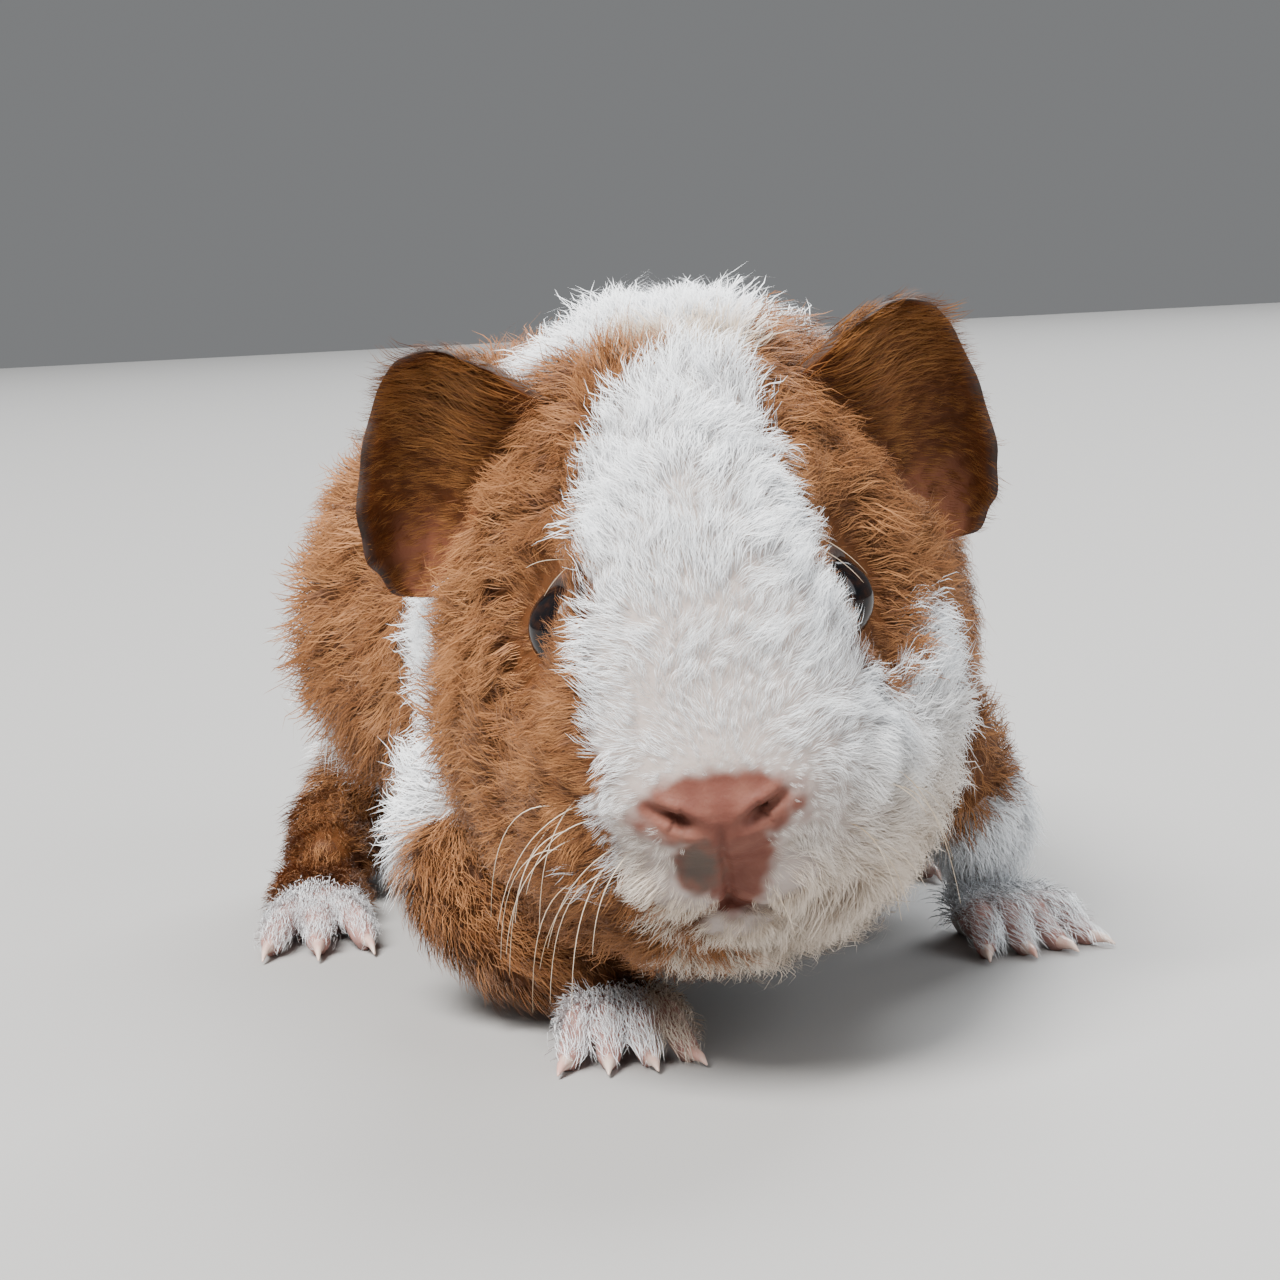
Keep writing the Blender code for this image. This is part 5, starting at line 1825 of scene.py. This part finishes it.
class CoatTree(Tree):
    """The Geometry Nodes tree that sets tufts on the skin and makes one mesh of them."""

    inputs = (("Skin", "NodeSocketGeometry", None), ("Region", "NodeSocketInt", 0),
              ("Tufts in a square metre", "NodeSocketFloat", 400000.0), ("Seed", "NodeSocketInt", 1),
              ("Ragged edge", "NodeSocketFloat", 0.9))
    floor_gap = 0.00015
    twist = 0.42
    least_twist = 0.35
    smallest, largest = 0.78, 1.18
    spares = ("unwrap", "patch", "lie", "outward", "cover", "style", "reach", "white_depth", "bare", "grey",
              "ear", "rosy", "rim", "region")

    def __init__(self, tufts: Tufts, finish: Finish) -> None:
        """Builds the tree for tufts of one finish."""
        super().__init__(bpy.data.node_groups.new("coat", "GeometryNodeTree"))
        for name, kind, value in self.inputs:
            socket = self.tree.interface.new_socket(name=name, in_out="INPUT", socket_type=kind)
            if value is not None:
                socket.default_value = value
        self.tree.interface.new_socket(name="Coat", in_out="OUTPUT", socket_type="NodeSocketGeometry")
        self.entry = self.node("NodeGroupInput")
        points = self.scatter()
        points = self.choose_colour(points)
        self.finish(self.plant(points, tufts), finish)

    def given(self, name: str) -> Value:
        """Returns one of the tree's own inputs."""
        return Value(self, self.entry.outputs[name])

    def field(self, name: str, kind: str = "FLOAT") -> Value:
        """Reads a field stored on the geometry."""
        made = self.node("GeometryNodeInputNamedAttribute", {"data_type": kind}, {"Name": name})
        return Value(self, self.out(made, "Attribute"))

    def chance(self, low: float, high: float, salt: Salt) -> Value:
        """Returns a random number for each tuft, fixed by the seed."""
        made = self.node("FunctionNodeRandomValue", {"data_type": "FLOAT"},
                         {"Min": low, "Max": high, "Seed": self.given("Seed") + salt.value})
        return Value(self, self.out(made, "Value"))

    def keep(self, geometry: Socket, name: str, value: object,
             kind: str = "FLOAT", domain: str = "POINT") -> Socket:
        """Stores a value on the geometry."""
        made = self.node("GeometryNodeStoreNamedAttribute", {"data_type": kind, "domain": domain},
                         {"Geometry": geometry, "Name": name, "Value": value})
        return made.outputs["Geometry"]

    def scatter(self) -> Socket:
        """Scatters the roots of the tufts on one region of the skin, thinned by its cover."""
        region = self.node("FunctionNodeCompare", {"data_type": "INT", "operation": "EQUAL"},
                           {"A": self.field("region", "INT"), "B": self.given("Region")})
        density = self.field("cover") * self.given("Tufts in a square metre")
        made = self.node("GeometryNodeDistributePointsOnFaces", {"distribute_method": "RANDOM"},
                         {"Mesh": self.given("Skin"), "Selection": region.outputs[0], "Density": density,
                          "Seed": self.given("Seed")})
        return made.outputs["Points"]

    def choose_colour(self, points: Socket) -> Socket:
        """Gives each tuft its colour and shade, with tufts of both colours mixed along the edges."""
        depth = self.field("white_depth") + self.chance(-1.0, 1.0, Salt.COLOUR) * self.given("Ragged edge")
        points = self.keep(points, "pale", depth.above(0.0))
        return self.keep(points, "shade", self.chance(0.0, 1.0, Salt.SHADE))

    def plant(self, points: Socket, tufts: Tufts) -> Socket:
        """Sets a tuft on each root, turned to the lie of the coat and scaled to its length."""
        aim = self.node("FunctionNodeAxesToRotation", {"primary_axis": "Z", "secondary_axis": "Y"},
                        {"Primary Axis": self.field("outward", "FLOAT_VECTOR"),
                         "Secondary Axis": self.field("lie", "FLOAT_VECTOR")})
        style = self.field("style")
        twist = self.chance(-self.twist, self.twist, Salt.TWIST) * (style + self.least_twist)
        spin = self.node("FunctionNodeAxisAngleToRotation", {}, {"Axis": (0.0, 0.0, 1.0), "Angle": twist})
        turned = self.node("FunctionNodeRotateRotation", {"rotation_space": "LOCAL"},
                           {"Rotation": aim.outputs[0], "Rotate By": spin.outputs[0]})
        kinds = self.node("GeometryNodeCollectionInfo", {},
                          {"Collection": tufts.collection, "Separate Children": True, "Reset Children": True})
        level = (style + self.chance(0.0, 0.999, Salt.STYLE)).floor()
        kind = self.chance(0.0, tufts.kinds - 0.001, Salt.KIND).floor()
        scale = self.field("reach") * self.chance(self.smallest, self.largest, Salt.SIZE)
        planted = self.node("GeometryNodeInstanceOnPoints", {},
                            {"Points": points, "Instance": kinds.outputs[0], "Pick Instance": True,
                             "Instance Index": level * tufts.kinds + kind, "Rotation": turned.outputs[0],
                             "Scale": scale})
        return planted.outputs["Instances"]

    def finish(self, instances: Socket, finish: Finish) -> None:
        """Makes one mesh of the tufts, with a patch of the skin's unwrap for each, and dresses it."""
        solid = self.node("GeometryNodeRealizeInstances", {}, {"Geometry": instances})
        patch = self.node("ShaderNodeVectorMath", {"operation": "ADD"},
                          {0: self.field("unwrap", "FLOAT_VECTOR"), 1: self.field("patch", "FLOAT_VECTOR")})
        mapped = self.keep(solid.outputs["Geometry"], "OFBake", patch.outputs[0], "FLOAT2", "CORNER")
        mapped = self.above_floor(mapped)
        dressed = self.node("GeometryNodeSetMaterial", {}, {"Geometry": mapped, "Material": finish.material})
        self.node("NodeGroupOutput", {}, {"Coat": dressed.outputs["Geometry"]})

    def above_floor(self, geometry: Socket) -> Socket:
        """Lifts what would reach below the floor, where the hair is pressed flat."""
        position = self.node("GeometryNodeInputPosition").outputs[0]
        place = self.node("ShaderNodeSeparateXYZ", {}, {0: position})
        height = Value(self, place.outputs["Z"])
        lifted = self.node("ShaderNodeCombineXYZ", {}, {"X": place.outputs["X"], "Y": place.outputs["Y"],
                                                        "Z": height.join("MAXIMUM", height, self.floor_gap)})
        made = self.node("GeometryNodeSetPosition", {}, {"Geometry": geometry, "Position": lifted.outputs[0]})
        return made.outputs["Geometry"]

    def grow(self, skin: Item, name: str, region: int, density: float,
             seed: int) -> Item:
        """Grows the coat of one region.

        Args:
            skin: The skin that carries the fields.
            name: The piece's name.
            region: Which faces of the skin to grow on.
            density: Tufts in a square millimetre.
            seed: The seed of the scatter.

        Returns:
            The coat as a plain mesh object.
        """
        carrier = show(name + "_carrier", skin.data)
        grower = carrier.modifiers.new("coat", "NODES")
        grower.node_group = self.tree
        sockets = {item.name: item.identifier for item in self.tree.interface.items_tree
                   if item.in_out == "INPUT"}
        grower[sockets["Region"]] = region
        grower[sockets["Tufts in a square metre"]] = density / MM ** 2
        grower[sockets["Seed"]] = seed
        mesh = evaluated_mesh(carrier)
        bpy.data.objects.remove(carrier)
        mesh.name = name
        for spare in self.spares:
            layer = mesh.attributes.get(spare)
            if layer:
                mesh.attributes.remove(layer)
        return show(name, mesh)


@dataclass(frozen=True)
class Patch:
    """One piece of the coat.

    Attributes:
        name: The piece's name.
        start: Where it begins, from the nose.
        end: Where it ends.
        side: Which half of the body.
        density: Tufts in a square millimetre.
        slot: The slot passed on with the piece; it is not used.
    """

    name: str
    start: float
    end: float
    side: Side
    density: float
    slot: Slot


COAT_STRETCHES = (
    ("muzzle", -20.0, 19.0, 2.28),
    ("cheek", 19.0, 42.0, 1.30),
    ("neck", 42.0, 66.0, 0.83),
    ("shoulder", 66.0, 95.0, 0.57),
    ("flank", 95.0, 128.0, 0.53),
    ("rump", 128.0, 190.0, 0.53),
)
COAT_PATCHES = tuple(
    Patch("coat_%s_%s" % (name, side.name.lower()), start, end, side, density,
          Slot.WHITE if name == "muzzle" or (name == "neck" and side is Side.RIGHT) else Slot.RUSSET)
    for name, start, end, density in COAT_STRETCHES for side in Side)


@dataclass(frozen=True)
class Coat:
    """The coat of trunk, head and legs, in pieces small enough to keep."""

    skin: Item
    form: BodyForm
    place: Place
    tree: CoatTree
    limb_density = 1.32
    first_seed = 40
    shin_from = 6

    def build(self) -> None:
        """Marks the regions and grows each patch."""
        self.mark_regions()
        pieces = [(patch.name, patch.density, patch.slot) for patch in COAT_PATCHES]
        pieces += [("coat_" + limb.name, self.limb_density, Slot.WHITE if limb.white else Slot.RUSSET)
                   for limb in LIMBS]
        for number, (name, density, slot) in enumerate(pieces):
            claim(self.tree.grow(self.skin, name, number, density, self.first_seed + number), slot)

    def mark_regions(self) -> None:
        """Numbers the skin's faces by the piece of coat that grows on them."""
        mesh = self.skin.data
        centres = np.empty(len(mesh.polygons) * 3, dtype=np.float32)
        mesh.polygons.foreach_get("center", centres)
        posed = self.place.from_frame(centres.reshape(-1, 3).astype(float))
        straight = self.form.straightened(posed)
        region = np.zeros(len(posed), dtype=np.int32)
        for number, patch in enumerate(COAT_PATCHES):
            inside = (straight[:, 1] >= patch.start) & (straight[:, 1] < patch.end)
            region[inside & (straight[:, 0] * patch.side.value >= 0.0)] = number
        for number, limb in enumerate(LIMBS, start=len(COAT_PATCHES)):
            region[self.on_limb(limb, posed)] = number
        number_faces(mesh, region)

    def on_limb(self, limb: Limb, posed: Points) -> Points:
        """Tells which points belong to a leg or its foot."""
        path, radii = limb.middle_line(24)
        path, radii = path[self.shin_from:], radii[self.shin_from:]
        gap = (np.linalg.norm(posed[:, None, :] - path[None, :, :], axis=2) / radii[None, :]).min(axis=1)
        local = limb.in_foot_axes(posed)
        foot = ((np.abs(local[:, 0]) < limb.spread + 4.0) & (local[:, 1] < limb.back + 1.0)
                & (local[:, 1] > -limb.toe_length - 10.0) & (posed[:, 2] < limb.height + 1.5))
        return (gap < 0.98) | foot


@dataclass(frozen=True)
class Light:
    """One soft square light, in metres and watts."""

    name: str
    place: Triple
    aim: Triple
    size: float
    power: float
    color: Triple

    def add(self) -> None:
        """Adds the light."""
        light = bpy.data.lights.new(self.name, "AREA")
        light.size = self.size
        light.energy = self.power
        light.color = self.color
        item = show(self.name, light)
        item.location = self.place
        item.rotation_mode = "QUATERNION"
        item.rotation_quaternion = (Vector(self.aim) - Vector(self.place)).to_track_quat("-Z", "Y")


@dataclass(frozen=True)
class Studio:
    """The plain pale floor, soft light and the camera at the photo's viewing angle."""

    floor_half: float = 3.2
    heading: float = math.radians(2.6)
    pitch: float = math.radians(6.4)
    roll: float = math.radians(-2.9)
    distance: float = 290.0
    height: float = 76.4
    aside: float = 6.3
    lens: float = 94.4
    sky: Color = rgb(0.86, 0.88, 0.90)
    sky_strength: float = 0.24
    lights: tuple[Light, ...] = (
        Light("key", (-1.10, -1.40, 2.60), (0.0, -0.02, 0.03), 1.50, 350.0, (1.0, 0.98, 0.95)),
        Light("fill", (2.10, -1.50, 1.50), (0.0, 0.0, 0.03), 1.80, 52.0, (0.94, 0.97, 1.0)),
        Light("back", (0.75, 2.20, 2.40), (0.0, 0.0, 0.04), 1.80, 140.0, (0.95, 0.98, 1.0)),
    )

    def build(self) -> None:
        """Makes the floor, the light and the camera."""
        half = self.floor_half
        corners = [(-half, -half, 0.0), (half, -half, 0.0), (half, half, 0.0), (-half, half, 0.0)]
        mesh = bpy.data.meshes.new("floor")
        mesh.from_pydata(corners, [], [(0, 1, 2, 3)])
        floor = show("floor", mesh)
        FloorFinish().dress(floor)
        self.add_world()
        for light in self.lights:
            light.add()
        self.add_camera()

    def add_world(self) -> None:
        """Makes the even light from all round."""
        world = bpy.data.worlds.new("studio")
        world.use_nodes = True
        back = world.node_tree.nodes["Background"]
        back.inputs["Color"].default_value = self.sky
        back.inputs["Strength"].default_value = self.sky_strength
        bpy.context.scene.world = world

    def add_camera(self) -> None:
        """Sets the camera where the photo was taken from."""
        low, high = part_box("nose")
        nose = Vector(((low.x + high.x) / 2.0, low.y, 0.0))
        ahead = Vector((math.sin(self.heading), math.cos(self.heading), 0.0))
        right = Vector((math.cos(self.heading), -math.sin(self.heading), 0.0))
        up = Vector((0.0, 0.0, 1.0))
        look = ahead * math.cos(self.pitch) - up * math.sin(self.pitch)
        camera = bpy.data.cameras.new("camera")
        camera.lens = self.lens
        item = show("camera", camera)
        item.location = nose - ahead * self.distance * MM - right * self.aside * MM + up * self.height * MM
        item.rotation_mode = "QUATERNION"
        item.rotation_quaternion = look.to_track_quat("-Z", "Y") @ Quaternion((0.0, 0.0, 1.0), self.roll)
        bpy.context.scene.camera = item


class Animal:
    """The whole animal, put together."""

    tuft_seed = 9
    ear_seed = 70
    ear_density = 2.15
    flesh = ("head", "neck", "torso", "rump", "nose", "foreleg_left", "foreleg_right", "hindleg_left",
             "hindleg_right", "forefoot_left", "forefoot_right", "hindfoot_left", "hindfoot_right")

    def __init__(self) -> None:
        """Finds the animal's place in the frame."""
        self.form = BodyForm()
        self.place = Place.found(self.form)
        self.markings = Markings(self.form)

    def build(self) -> None:
        """Makes every piece in order."""
        skin_finish, hair = SkinFinish(), CoatFinish()
        skin = Skin(self.form, self.place, self.markings).build()
        skin_finish.dress(skin)
        tufts = Tufts(self.tuft_seed)
        tree = CoatTree(tufts, hair)
        ear_tree = CoatTree(tufts, EarHairFinish())
        Coat(skin, self.form, self.place, tree).build()
        claim(skin, Slot.PINK, *self.flesh)
        for number, side in enumerate(Side):
            self.build_ear(side, ear_tree, skin_finish, self.ear_seed + number)
            self.build_eye(side)
        claws = Claws(self.place).build()
        ClawFinish().dress(claws)
        claim(claws, Slot.PINK)
        whiskers = Whiskers(self.form, self.place).build()
        WhiskerFinish().dress(whiskers)
        claim(whiskers, Slot.WHITE)

    def build_ear(self, side: Side, tree: CoatTree, finish: SkinFinish, seed: int) -> None:
        """Makes one ear with its hair."""
        name = side.name.lower()
        ear = Ear(self.form, self.place, side, EarForm()).build()
        finish.dress(ear)
        number_faces(ear.data, np.zeros(len(ear.data.polygons), dtype=np.int32))
        hair = tree.grow(ear, "coat_ear_" + name, 0, self.ear_density, seed)
        claim(hair, Slot.RUSSET)
        claim(ear, Slot.EAR, "ear_" + name)

    def build_eye(self, side: Side) -> None:
        """Makes one eye and its lids."""
        eye = Eye(self.form, self.place, side)
        ball = eye.ball()
        EyeFinish().dress(ball)
        claim(ball, Slot.EYE, "eye_" + side.name.lower())
        lids = eye.lids()
        LidFinish().dress(lids)
        claim(lids, Slot.EAR)


def main() -> None:
    """Builds the studio and the animal."""
    logging.basicConfig(level=logging.INFO, format="%(message)s")
    Studio().build()
    Animal().build()


if __name__ == "__main__":
    main()
